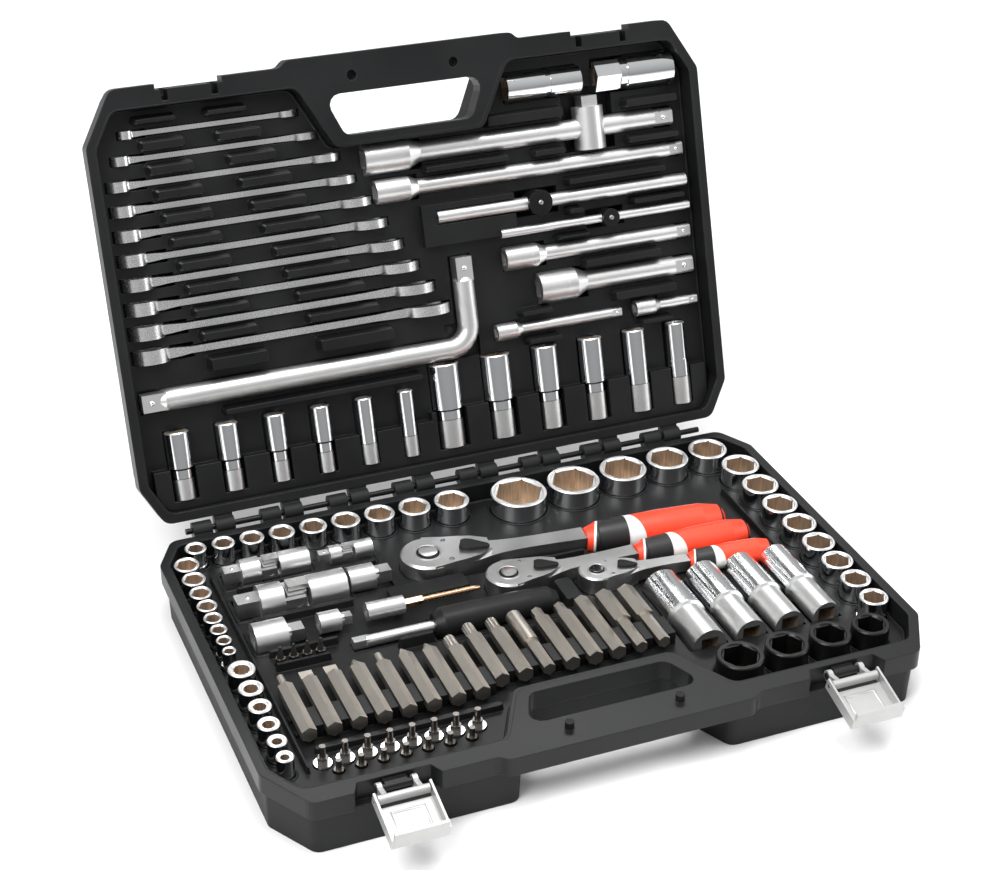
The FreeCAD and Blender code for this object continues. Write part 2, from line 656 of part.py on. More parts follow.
def ratchet(word, k, length, side, x, y, angle):
    """A reversible ratchet lying button up, its handle along local X."""
    hr, th, gr = S("ratchet_head") * k, S("ratchet_thickness") * k, S("grip_radius") * k
    run = S("running")
    n = dim(length)
    z = TL - 3 * k - th / 2
    top, low = th / 2, -th / 2
    px = hr * 1.45
    forged = [(0, 1.0), (0.35, 0.935), (0.8, 0.83), (1.3, 0.75), (1.75, 0.64), (2.1, 0.46),
              (2.3, 0.36)]
    shank = [(1.2, 0.76), (1.75, 0.65), (2.2, 0.52), (2.7, 0.42), (3.3, 0.37), (4.2, 0.35)]
    upper = [(hr * a, hr * b) for a, b in forged]
    bar_line = [(hr * a, hr * b) for a, b in shank] + [(n * 0.52, hr * 0.38)]
    cheek = outline([(a, -b) for a, b in upper] + upper[::-1], low, th)
    neck = outline([(a, -b) for a, b in bar_line] + bar_line[::-1], -th * 0.3, th * 0.6)
    flat = hr - th * 0.07
    outer = fuse(cyl(hr, th * 0.86, (0, 0, -th * 0.43)), cone(flat, hr, th * 0.07, (0, 0, low)),
                 cone(hr, flat, th * 0.07, (0, 0, th * 0.43)), cheek, neck,
                 cyl(gr * 0.42, n * 0.2, (n * 0.5, 0, 0), "x"))
    gear_r = hr * 0.66
    hub_r = hr * 0.43
    cavity = cyl(gear_r + 0.4, th * 0.65 + 1, (0, 0, low - 1))
    hub_hole = cyl(hub_r + run, th, (0, 0, 0))
    pawl_room = block(gear_r * 0.8, px - hr * 0.2, -hr * 0.34, hr * 0.34, low - 1, th * 0.1)
    shaft = cyl(hr * 0.2 + run, th, (px, 0, 0))
    screws = [cyl(hr * 0.1, 1.2, (hr * 0.72, hr * 0.62 * s, top - 1)) for s in (-1, 1)]
    bodyo = cut(outer, cavity, hub_hole, pawl_room, shaft, *screws)
    at = (x, y, z, angle)
    node("ratchet_%s_body" % word, bodyo, at)

    # Toothed drive with its hub and square.
    teeth = []
    number = 36
    for t in range(number):
        for f, q in ((0.0, 1.0), (0.5, 0.93)):
            a = 2 * math.pi * (t + f) / number
            teeth.append((gear_r * (q * math.cos(a)), gear_r * (q * math.sin(a))))
    gear = outline(teeth, low + 0.2, th * 0.62)
    hub = cyl(hub_r, top - 0.5 - (low + th * 0.5), (0, 0, low + th * 0.5))
    drive = fuse(gear, hub, square(side, dim(side) * 1.2 + 2, (0, 0, low + 2), "-z"))
    well = cyl(hub_r * 0.79 + run, th, (0, 0, top - th * 0.3))
    bore = cyl(dim(side) * 0.2 + run, th * 2, (0, 0, low - dim(side)))
    node("ratchet_%s_drive" % word, cut(drive, well, bore), at)

    # Quick-release button with its spindle inside the drive.
    cap = cyl(hub_r * 0.79, th * 0.22 + 1.5 * k, (0, 0, top - th * 0.22))
    spindle = cyl(dim(side) * 0.2, th * 0.78 + dim(side) * 0.6 + 0.5, (0, 0, low - dim(side) * 0.6))
    node("ratchet_%s_button" % word, fuse(cap, spindle), at)

    # Reversing lever on its shaft, and the pawl that it throws.
    thumb = outline([(-hr * 0.26, -hr * 0.2), (-hr * 0.12, -hr * 0.3), (hr * 0.1, -hr * 0.3),
                     (hr * 0.75, -hr * 0.1), (hr * 0.82, 0), (hr * 0.75, hr * 0.1),
                     (hr * 0.1, hr * 0.3), (-hr * 0.12, hr * 0.3), (-hr * 0.26, hr * 0.2)],
                    top + 0.2, 2.6 * k)
    stem = cyl(hr * 0.2, th * 0.45 + 0.4, (0, 0, top - th * 0.45))
    thumb_lever = fuse(thumb, stem)
    stand(thumb_lever, (px, 0, 0), FreeCAD.Rotation(V(0, 0, 1), -VALUE["thumb_rest"]))
    node("ratchet_%s_lever" % word, group(thumb_lever), at)
    reach = px - gear_r
    pawl = block(-reach + 0.5, -hr * 0.24, -hr * 0.21, hr * 0.21, low + 0.6, th * 0.05)
    rocked = group(pawl)
    stand(rocked, (px, 0, 0), FreeCAD.Rotation(V(0, 0, 1), -VALUE["pawl_rest"]))
    node("ratchet_%s_pawl" % word, group(rocked), at)

    # Grip turned about the handle, with a harder collar let into it.
    g0, g1 = n * 0.52 + 0.3, n
    c0, c1 = n * 0.56, n * 0.66
    hole = gr * 0.42 + 0.05
    deep_end = n * 0.7 + 0.3
    grip = turned("grip_" + word, [
        (g0, hole), (g0, gr * 0.62), (c0, gr * 0.84), (c0, gr * 0.68), (c1, gr * 0.68),
        (c1, gr * 0.95), (n * 0.78, gr), (n * 0.92, gr * 0.98), (n * 0.985, gr * 0.78),
        (g1, gr * 0.5), (g1, 0), (deep_end, 0), (deep_end, hole)], "x", (0, 0, 0))
    node("ratchet_%s_grip" % word, group(grip), at)
    collar = turned("collar_" + word, [
        (c0 + 0.02, gr * 0.68 + 0.02), (c0 + 0.02, gr * 0.88), (c1 - 0.02, gr * 0.97),
        (c1 - 0.02, gr * 0.68 + 0.02)], "x", (0, 0, 0))
    node("ratchet_%s_collar" % word, group(collar), at)

    # Pocket: head, neck and grip, turned with the tool.
    drop = z - TL
    pocket = []
    walls = []
    g = GAP + 0.3
    for wall, store in ((W, walls), (dim(0), pocket)):
        up = LEVEL - z if store is walls else LEVEL - z + 30
        low_g = low - g - wall
        store.append(cyl(hr + g + wall, up - low_g, (0, 0, low_g)))
        store.append(block(0, px + hr * 1.4 + wall, -hr * 0.92 - wall, hr * 0.92 + wall, low_g,
                           up))
        n_low = -th * 0.3 - g - wall
        if up.v - n_low.v > 0.5:
            store.append(block(px, n * 0.6, -hr * 0.44 - g - wall, hr * 0.44 + g + wall,
                               n_low, up))
        g_low = -gr - g - wall
        store.append(block(g0 - 2 - wall, n + 1.5 + wall, -gr - g - wall, gr + g + wall, g_low, up))
    walls.append(cyl(dim(side) * 0.8 + W, 8, (0, 0, low - 6)))
    pocket.append(cyl(dim(side) * 0.8, dim(side) * 1.2 + 5, (0, 0, low - dim(side) * 1.2 - 3)))
    for store, target in ((walls, base_cups), (pocket, base_hollows)):
        o = fuse(*store)
        stand(o, (x, y, z), FreeCAD.Rotation(V(0, 0, 1), angle))
        target.append(o)


ratchet("half", 1.0, S("ratchet_half_length"), S("half_square"), -HW + 183, BACK - 57.5, -5)
ratchet("three_eighth", 0.82, S("ratchet_three_eighth_length"), S("three_eighth_square"),
        -HW + 227, BACK - 102.5, 0)
ratchet("quarter", 0.66, S("ratchet_quarter_length"), S("quarter_square"),
        -HW + 286.5, BACK - 121.8, -4.5)

# ---------------------------------------------------------------- joints, adapters


def universal(side, r, length, x, y):
    """A universal joint lying along X: square yoke, cross and socket yoke."""
    side, r, n = dim(side), dim(r), dim(length)
    z = TL - r - 0.3
    mid = side * 1.25 + (n - side * 1.25) * 0.42
    f = r * 0.62
    male = fuse(square(side, side * 1.25 + 0.5, (0, 0, 0), "x"),
                cyl(r, mid - side * 1.25 - r * 0.75, (side * 1.25, 0, 0), "x"),
                block(side * 1.25, mid + r * 0.45, f, r * 0.92, -r * 0.4, r * 0.4),
                block(side * 1.25, mid + r * 0.45, -r * 0.92, -f, -r * 0.4, r * 0.4))
    female = fuse(cyl(r, n - mid - r * 0.75, (mid + r * 0.75, 0, 0), "x"),
                  block(mid - r * 0.45, n - r * 0.8, -r * 0.4, r * 0.4, f, r * 0.92),
                  block(mid - r * 0.45, n - r * 0.8, -r * 0.4, r * 0.4, -r * 0.92, -f))
    pin_r = r * 0.2
    across = [cyl(pin_r + 0.05, r * 3, (mid, -r * 1.5, 0), "y"),
              cyl(pin_r + 0.05, r * 3, (mid, 0, -r * 1.5))]
    male = cut(male, across[0])
    female = cut(female, across[1], square(side, side * 1.2, (n + 1, 0, 0), "-x"))
    cube = r * 0.56
    cross = fuse(block(mid - cube, mid + cube, -cube, cube, -cube, cube),
                 cyl(pin_r, r * 1.8, (mid, -r * 0.9, 0), "y"),
                 cyl(pin_r, r * 1.8, (mid, 0, -r * 0.9)))
    out = []
    for o in (male, female, cross):
        out.append(stand(o, (x, y, z), FreeCAD.Rotation()))
    x, y = dim(x), dim(y)
    cup_box(base_cups, base_hollows, x - 0.6, x + n + 0.6, y - r - GAP, y + r + GAP,
            z - r - GAP, LEVEL)
    return out


ROW_A, ROW_B, ROW_C, ROW_D = BACK - 24.5, BACK - 61, BACK - 103, BACK - 133
COL = -HW + 39.5
joints = universal(S("three_eighth_square"), 9.5, 62, COL + 1.5, ROW_A)
joints += universal(S("quarter_square"), 6.6, 40, COL + 70, ROW_A - 5)
joints += universal(S("half_square"), 12.5, 79, COL, ROW_B)
node("universal_joints", group(*joints))


def adapter(inner, outer, r, body_length, x, y):
    """A drive adapter: a socket with a smaller or larger square on its end."""
    inner, outer, r, n = dim(inner), dim(outer), dim(r), dim(body_length)
    z = TL - r - 0.5
    o = fuse(cyl(r, n, (0, 0, 0), "x"), cyl(outer * 0.62, 3, (n, 0, 0), "x"),
             square(outer, outer * 1.2, (n + 1, 0, 0), "x"))
    o = cut(o, square(inner, n * 0.7, (-1, 0, 0), "x"))
    x, y = dim(x), dim(y)
    cup_box(base_cups, base_hollows, x - 0.6, x + n + outer * 1.2 + 1.6, y - r - GAP,
            y + r + GAP, z - r - GAP, LEVEL)
    return stand(o, (x, y, z), FreeCAD.Rotation())


adapters = [adapter(S("half_square"), S("three_eighth_square"), 12, 23, COL, ROW_C),
            adapter(S("quarter_square"), S("three_eighth_square"), 9.5, 19, COL + 81.5, ROW_B),
            adapter(S("three_eighth_square"), S("quarter_square"), 7.5, 15, COL + 45.5, ROW_C - 3)]
node("drive_adapters", group(*adapters))

# Bit holder with a thin bit in it.
hz = TL - 7
hx, hy = COL + 80, ROW_C - 3
holder = cut(cyl(6.5, 27, (hx, hy, hz), "x"), hexagon(S("insert_across") + 0.1, 18,
             (hx + 12, hy, hz), "x"), square(S("quarter_square"), 9, (hx - 1, hy, hz), "x"))
node("bit_holder", holder)
thin = fuse(hexagon(S("insert_across"), 28, (hx + 13, hy, hz), "x"),
            cyl(2.2, 40, (hx + 40, hy, hz), "x"), cone(2.2, 1.2, 4, (hx + 80, hy, hz), "x"))
node("holder_bit", thin)
cup_box(base_cups, base_hollows, hx - 0.6, hx + 28, hy - 7, hy + 7, hz - 7, LEVEL)
cup_box(base_cups, base_hollows, hx + 27, hx + 86, hy - 4.2, hy + 4.2, hz - 4.4, LEVEL)

# Spinner handle for the quarter-inch sockets.
sx, sy = COL + 62, ROW_D + 2
sz = TL - 12.3
n1 = dim(58)
shaft = fuse(square(S("quarter_square"), 11, (sx, sy, sz), "x"),
             cyl(4, n1 + 22, (sx + 9, sy, sz), "x"))
node("spinner_shaft", shaft)
gx = sx + n1
spin = turned("spinner_grip", [
    (0, 4.05), (0, 8), (6, 11.5), (30, 11.8), (70, 11.2), (86, 10), (92, 6), (92, 0),
    (32, 0), (32, 4.05)], "x", (0, 0, 0))
spin_group = group(spin)
node("spinner_handle", spin_group, (gx, sy, sz, 0))
cup_box(base_cups, base_hollows, sx - 0.6, gx + 1, sy - 5, sy + 5, sz - 5, LEVEL)
cup_box(base_cups, base_hollows, gx - 1.5, gx + 93.5, sy - 12.4, sy + 12.4, sz - 12.3, LEVEL)

# ---------------------------------------------------------------- bits
AF = S("bit_across")
BL = S("bit_length")
bz = LEVEL + 3 + AF * 0.578 + 0.05
bits = []
clips = []
FIRST = -HW + 42.5
BP = S("bit_pitch")
TAIL_L, TAIL_R = FRONT + 31, FRONT + 39.5
tips = ["pin", "flat", "flat", "cross", "pin", "cross", "cross", "star", "star", "star",
        "fat_star", "stub", "stub", "full", "fat_hex", "fat_hex"]
for k, tip in enumerate(tips):
    x = FIRST + BP * k
    y = TAIL_L if k < 8 else TAIL_R
    fat = tip.startswith("fat")
    shank = hexagon(AF * (0.8 if fat else 1.0), BL * (0.5 if fat or tip == "stub" else 0.78),
                    (x, y, bz), "y", 30)
    pieces = [shank]
    if tip == "full":
        pieces.append(hexagon(AF, BL, (x, y, bz), "y", 30))
    elif tip == "fat_hex":
        pieces.append(hexagon(AF * 1.18, BL * 0.52, (x, y + BL * 0.48, bz), "y", 30))
    elif tip == "stub":
        pieces.append(hexagon(AF, BL * 0.84, (x, y, bz), "y", 30))
        pieces.append(hexagon(AF * 0.72, BL, (x, y, bz), "y", 30))
    elif tip == "fat_star":
        pieces.append(cyl(AF * 0.56, BL * 0.52, (x, y + BL * 0.48, bz), "y"))
    elif tip == "star":
        pieces.append(hexagon(AF, BL * 0.8, (x, y, bz), "y", 30))
        pieces.append(hexagon(AF * 0.72, BL, (x, y, bz), "y", 30))
        pieces.append(hexagon(AF * 0.72, BL, (x, y, bz), "y", 0))
    elif tip == "cross":
        pieces.append(cone(AF * 0.5, 1.2, BL * 0.14, (x, y + BL * 0.86, bz), "y"))
        pieces.append(hexagon(AF, BL * 0.87, (x, y, bz), "y", 30))
    elif tip == "flat":
        pieces.append(block(x - AF * 0.45, x + AF * 0.45, y + BL * 0.6, y + BL, bz - 0.9, bz + 0.9))
        pieces.append(hexagon(AF, BL * 0.84, (x, y, bz), "y", 30))
    else:
        pieces.append(cyl(AF * 0.27, BL, (x, y, bz), "y"))
        pieces.append(hexagon(AF, BL * 0.82, (x, y, bz), "y", 30))
    bits.append(fuse(*pieces))
    r = AF * 0.6 if fat else AF * 0.5
    clips.append(block(x + BP / 2 - 3, x + BP / 2 + 3, y + 6, y + 26, LEVEL - 1, LEVEL + 10))
node("long_bits", group(*bits))
NB = len(tips)
for y0, x0, x1 in ((TAIL_L, FIRST, FIRST + BP * 7), (TAIL_R, FIRST + BP * 8, FIRST + BP * (NB - 1))):
    for yy in (y0 + 10, y0 + BL * 0.4):
        clips.append(block(x0 - 6, x1 + 6, yy, yy + 4, LEVEL - 1, LEVEL + 3))

# Bit sockets in a front row, insert bits beside them and behind.
shorts = []
sockets = []
ia = S("insert_across")
iz = TL - 1 - S("insert_length")
sb_y = FRONT + 11
SP = S("bit_socket_pitch")
for k in range(8):
    x = FIRST + 2 + SP * k
    b = S("bit_socket_radius")
    ring_o = cut(cyl(b, 20, (x, sb_y, TL - 34)), hexagon(ia + 0.1, 12, (x, sb_y, TL - 24)),
                 square(S("quarter_square"), 9, (x, sb_y, TL - 35)))
    stub = fuse(hexagon(ia, 14, (x, sb_y, TL - 23.5)), cyl(2.1, 22, (x, sb_y, TL - 23)))
    sockets.append(ring_o)
    sockets.append(stub)
    cup_round(base_cups, base_hollows, b, x, sb_y, TL - 34, LEVEL)
    if k < 7:
        xx = x + SP / 2
        shorts.append(fuse(hexagon(ia, 18, (xx, sb_y - 9.5, iz - 6)),
                           cyl(1.9, S("insert_length"), (xx, sb_y - 9.5, iz - 6))))
        cup_round(base_cups, base_hollows, ia * 0.58, xx, sb_y - 9.5, iz - 6, LEVEL)
node("bit_sockets", group(*sockets))
for k in range(4):
    x = FIRST + 8 + 9.4 * k
    y = ROW_D + 2
    shorts.append(fuse(hexagon(ia, 16, (x, y, iz)), cone(2.8, 0.8, S("insert_length") - 14,
                                                           (x, y, iz + 14))))
    cup_round(base_cups, base_hollows, ia * 0.58, x, y, iz, LEVEL)
node("short_bits", group(*shorts))

# ---------------------------------------------------------------- base tray


def pad(x0, x1, y0, y1, z0, height, lean=9):
    """A raised moulding with clipped corners and sloping sides."""
    x0, x1, y0, y1 = [dim(q) for q in (x0, x1, y0, y1)]
    c = min(2.0, (y1.v - y0.v) * 0.3, (x1.v - x0.v) * 0.3)
    o = outline([(x0 + c, y0), (x1 - c, y0), (x1, y0 + c), (x1, y1 - c), (x1 - c, y1),
                 (x0 + c, y1), (x0, y1 - c), (x0, y0 + c)], z0, height, -lean)
    return o


LOW = LEVEL - 1
for x0, x1, y0, y1, h in (
        (HW - 213, HW - 176, BACK - 88, BACK - 83.5, 8), (HW - 215, HW - 200.5, BACK - 141, BACK - 113.5, 8),
        (COL + 103.5, COL + 162, BACK - 96.5, BACK - 78.5, 6),
        (COL + 90, COL + 117, ROW_D - 12.5, ROW_D - 6.5, 9),
        (COL + 5.5, COL + 45, ROW_D - 6.8, ROW_D - 2.5, 7),
        (COL + 5.5, COL + 110, BACK - 44.5, BACK - 39.5, 6.5),
        (COL + 5.5, COL + 79, BACK - 85.5, BACK - 79.5, 6.5),
        (COL + 5.5, COL + 55, BACK - 124, BACK - 119.5, 6.5),
        (-HW + 31.5, -HW + 34.8, FRONT + 4, BACK - 19, 6.5),
        (HW - 45, HW - 41.8, FRONT + 117, BACK - 44, 6.5),
        (FIRST, FIRST + 129, FRONT + 20, FRONT + 26, 5.5)):
    clips.append(pad(x0, x1, y0, y1, LOW, h))
tray_points = rounded(ring(S("rim_width") + S("fit"), (ROOM_NOTCH[0] + S("fit"),
                      ROOM_NOTCH[1] + S("fit"), ROOM_NOTCH[2] + S("fit")), FRONT_MORE), CORNER.v)
plate = outline(tray_points, LEVEL - S("tray_skin"), S("tray_skin"))
tray = cut(fuse(plate, *base_cups), *base_hollows)
keep = outline(tray_points, S("shell_floor") + 0.1, BH)
common = doc.addObject("Part::MultiCommon", "trim")
common.Shapes = [fuse(tray, *clips), keep]
node("base_tray", common)

# ---------------------------------------------------------------- lid tools
# Local frame of the lid: Y from the hinge, Z down into it is negative.
D0 = S("hinge_offset")
FLOOR = RIM - LH + S("shell_floor") + 0.3
LT = RIM - S("lid_tray_level")
END = HW - 14
TOP = FRONT_D


def lid_cup(x0, x1, y0, y1, z0):
    cup_box(lid_cups, lid_hollows, x0, x1, y0, y1, z0, LT)


def bar(square_side, r, boss_r, boss_n, length, y, depth, x_end):
    """An extension bar along X: socket end left, square end right."""
    side, r, br, n = dim(square_side), dim(r), dim(boss_r), dim(length)
    z = RIM - depth
    x1 = dim(x_end)
    x0 = x1 - n
    end = doc.addObject("Part::MultiCommon", "square_end")
    end.Shapes = [square(side, side * 1.2 + 2, (x1 - side * 1.2 - 2, y, z), "x"),
                  cyl(r, side * 1.2 + 4, (x1 - side * 1.2 - 3, y, z), "x")]
    o = fuse(cyl(br, boss_n, (x0, y, z), "x"),
             cone(br, r, br * 0.8, (x0 + boss_n, y, z), "x"),
             cyl(r, n - side * 1.2, (x0, y, z), "x"), end)
    o = cut(o, square(side, side * 1.1, (x0 - 1, y, z), "x"))
    lid_cup(x0 - 0.7, x0 + boss_n + br, y - br - GAP, y + br + GAP, z - br - GAP)
    wide = r if r.v > side.v * 0.5 else side * 0.5
    lid_cup(x0 + boss_n, x1 + 0.7, y - wide - GAP, y + wide + GAP, z - wide - GAP)
    return o


HB, TB, QB = S("half_bar") + 1.1, S("three_eighth_bar") + 0.8, S("quarter_bar") + 0.6
HBO, TBO, QBO = S("half_boss"), S("three_eighth_boss"), S("quarter_boss")
SLIDE = S("head_slide")
Y_HALF, Y_3E, Y_T3, Y_T4 = TOP - 73, TOP - 98, TOP - 122.5, TOP - 142
Y_3S, Y_HS, Y_Q = TOP - 162, TOP - 188.5, TOP - 216
long_half = bar(S("half_square"), HB, HBO, 34, 250, Y_HALF, 15.5, END - 6)
# The square's corners are ground to the bar's radius, so the head slides on.
node("extension_half_long", long_half, "lid")
others = [bar(S("three_eighth_square"), TB, TBO, 26, 250, Y_3E, 14, END),
          bar(S("three_eighth_square"), TB, TBO, 26, 155, Y_3S, 14, END),
          bar(S("half_square"), HB, HBO, 30, 130, Y_HS, 15.5, END),
          bar(S("quarter_square"), QB, QBO, 16, 104, Y_Q, 11, END - 65),
          bar(S("quarter_square"), QB, QBO, 16, 53, Y_Q, 11, END)]
node("extension_bars", group(*others), "lid")
hx = END - 74
head_z = RIM - 15.5
head = fuse(cyl(HBO, 32, (hx, Y_HALF - 16, head_z), "y"),
            square(S("half_square"), 9, (hx, Y_HALF + 15, head_z), "y"))
head = cut(head, cyl(HB + S("running"), 30, (hx - 15, Y_HALF, head_z), "x"))
node("sliding_head_half", head, "lid")
lid_cup(hx - HBO - SLIDE - 1, hx + HBO + SLIDE + 1, Y_HALF - 17, Y_HALF + 31, head_z - HBO - GAP)


def t_handle(word, r, side, head_r, length, y, depth, head_at):
    """A sliding T handle: a plain bar through a head with a square."""
    r, side, hr, n = dim(r), dim(side), dim(head_r), dim(length)
    z = RIM - depth
    x0 = END - n
    node("t_bar_" + word, cyl(r, n, (x0, y, z), "x"), "lid")
    x = END - head_at
    o = fuse(cyl(hr, r * 2 + 6, (x, y, z - r - 3)),
             square(side, side * 1.1 + 1, (x, y, z - r - 2), "-z"))
    o = cut(o, cyl(r + S("running"), hr * 2 + 4, (x - hr - 2, y, z), "x"))
    node("t_head_" + word, o, "lid")
    lid_cup(x0 - 0.7, END + 0.7, y - r - GAP, y + r + GAP, z - r - GAP)
    lid_cup(x - hr - SLIDE - 1, x + hr + SLIDE + 1, y - hr - GAP, y + hr + GAP, FLOOR + 1.6)


t_handle("three_eighth", S("three_eighth_bar"), S("three_eighth_square"), 9.5, 205, Y_T3, 11.5, 124)
t_handle("quarter", S("quarter_bar"), S("quarter_square"), 6.8, 157, Y_T4, 9, 68)

# Offset handle: a bar with a knurled stretch, bent up to its square end.
lx0, lx1 = -HW + 11.5, dim(31)
ly = TOP - 222
lz = RIM - 12
ob = dim(8)
bend = S("bend_radius")
elbow = doc.addObject("Part::Torus", "elbow")
put(elbow, "Radius1", bend)
put(elbow, "Radius2", ob)
elbow.Angle3 = 90
stand(elbow, (lx1 - bend, ly + bend, lz), FreeCAD.Rotation(V(0, 0, 1), -90))
handle = fuse(square(S("half_square"), 18, (lx0 + 1, ly, lz), "x"),
              cone(ob * 0.8, ob, 4, (lx0 + 14, ly, lz), "x"),
              cyl(ob, lx1 - bend - lx0 - 18, (lx0 + 18, ly, lz), "x"), elbow,
              cyl(ob, 50 - bend, (lx1, ly + bend, lz), "y"),
              cone(ob, ob * 0.8, 3, (lx1, ly + 50, lz), "y"),
              square(S("half_square"), 18, (lx1, ly + 50, lz), "y"))
lid_cup(lx1 - bend - 1, lx1 + 9, ly - 9, ly + bend + 1, lz - 9)
node("offset_handle", handle, "lid")
lid_cup(lx0, lx1 + 9, ly - 9, ly + 9, lz - 9)
lid_cup(lx1 - 9, lx1 + 9, ly - 9, ly + 69, lz - 9)

# Deep sockets in the lid, noses away from the hinge.
quarter_deep = []
x = -HW + 34.5
last = None
for size in (13, 12, 11, 10, 9, 8):
    r = nose(size, S("quarter_wall"))
    if last is not None:
        x = x + last + r + 21 - size * 0.1
    z = RIM - 3.3 - r
    o, b = socket(size, S("quarter_square"), S("quarter_wall"), S("quarter_deep_length"),
                  (x, D0 + 14, z), "y", body_r=r - 1.2 if size > 9 else None)
    quarter_deep.append(o)
    lid_cup(x - b - GAP, x + b + GAP, D0 + 13.4, D0 + 14.6 + S("quarter_deep_length"), z - b - GAP)
    last = r
node("sockets_quarter_deep", group(*quarter_deep), "lid")
three_deep = []
x = dim(8)
last = None
for size in (17, 16, 14, 13, 12, 10):
    r = nose(size, S("half_wall"))
    if last is not None:
        x = x + last + r + 18.6
    z = RIM - 3.3 - r
    o, b = socket(size, S("three_eighth_square"), S("half_wall"), S("three_eighth_deep_length"),
                  (x, D0 + 14, z), "y", body_r=r - 1.4 if size > 12 else None)
    three_deep.append(o)
    lid_cup(x - b - GAP, x + b + GAP, D0 + 13.4, D0 + 14.6 + S("three_eighth_deep_length"),
            z - b - GAP)
    last = r
node("sockets_three_eighth_deep", group(*three_deep), "lid")

# Two spark plug sockets by the far edge.
plugs = []
for x0, r, n, hexed in ((END - 140, dim(11), 60, False), (END - 67.3, dim(13), 64, True)):
    z = RIM - 3.3 - r
    y = TOP - 36
    if hexed:
        outer = fuse(hexagon(r * 1.72, 20, (x0, y, z), "x"), cyl(r - 1, 6, (x0 + 20, y, z), "x"),
                     cyl(r, n - 26, (x0 + 26, y, z), "x"))
        tools = [square(S("half_square"), 16, (x0 - 1, y, z), "x"),
                 hexagon(r * 1.5, 30, (x0 + n - 29, y, z), "x")]
    else:
        outer = fuse(cyl(r, 31, (x0, y, z), "x"), cyl(r - 1, 4, (x0 + 31, y, z), "x"),
                     cyl(r - 0.4, n - 35, (x0 + 35, y, z), "x"))
        tools = [square(S("half_square"), 16, (x0 + n - 15, y, z), "x"),
                 hexagon(r * 1.5, 30, (x0 - 1, y, z), "x")]
    plugs.append(cut(outer, cyl(r * 0.5, n - 4, (x0 + 2, y, z), "x"), *tools))
    lid_cup(x0 - 0.6, x0 + n + 0.6, y - r - GAP, y + r + GAP, z - r - GAP)
node("spark_plug_sockets", group(*plugs), "lid")

def wrench_bar(xa, xb, y, z, size, t_ring, t_bar, t_jaw):
    """The shank seen on edge: it swells into the ring and into the jaw."""
    half = [(xa, t_ring * 0.40), (xa + size * 0.9, t_ring * 0.34), (xa + size * 1.5, t_bar * 0.5),
            (xa + size * 3.2, t_bar * 0.52), (xb - size * 2.2, t_bar * 0.5),
            (xb - size * 1.3, t_jaw * 0.42), (xb, t_jaw * 0.46)]
    line = [(a, y - b) for a, b in half] + [(a, y + b) for a, b in half[::-1]]
    return outline(line, z - 0.34 * size, 0.68 * size)


# Ten combination wrenches on edge, ring ends to the left.
wrenches = []
WY = TOP - 33
for k, size in enumerate((8, 10, 12, 13, 14, 15, 16, 17, 18, 19)):
    n = dim(51 + 10.1 * size)
    y = WY - S("wrench_pitch") * k
    x0 = -HW + (25.5 if size < 10 else 18 if size < 12 else 12)
    z = RIM - S("wrench_depth")
    ring_r = 0.74 * size
    jaw_r = 0.96 * size
    t_ring = 0.42 * size + 2.2
    t_bar = 0.15 * size + 2.0
    t_jaw = 0.28 * size + 2.0
    x1 = x0 + n
    o = fuse(cyl(ring_r, t_ring, (x0 + ring_r, y - t_ring / 2, z), "y"),
             wrench_bar(x0 + ring_r, x1 - jaw_r, y, z, size, t_ring, t_bar, t_jaw),
             cyl(jaw_r, t_jaw, (x1 - jaw_r, y - t_jaw / 2, z), "y"))
    o = cut(o, hexagon(size, 30, (x0 + ring_r, y - 15, z), "y"),
            block(x1 - jaw_r * 1.05, x1 + 2, y - 15, y + 15, z - size / 2.0, z + size / 2.0))
    wrenches.append(o)
    lid_cup(x0 - 0.6, x0 + ring_r * 2 + 2 + 0.8 * size, y - t_ring / 2 - 0.4, y + t_ring / 2 + 0.4,
            z - ring_r - 0.5)
    lid_cup(x0 + ring_r, x1 - jaw_r, y - t_bar / 2 - 0.8, y + t_bar / 2 + 0.8,
            z - 0.34 * size - 0.5)
    lid_cup(x1 - jaw_r - 2.4 * size, x1 + 0.6, y - t_jaw / 2 - 0.4, y + t_jaw / 2 + 0.4,
            z - jaw_r - 0.5)
node("combination_wrenches", group(*wrenches), "lid")

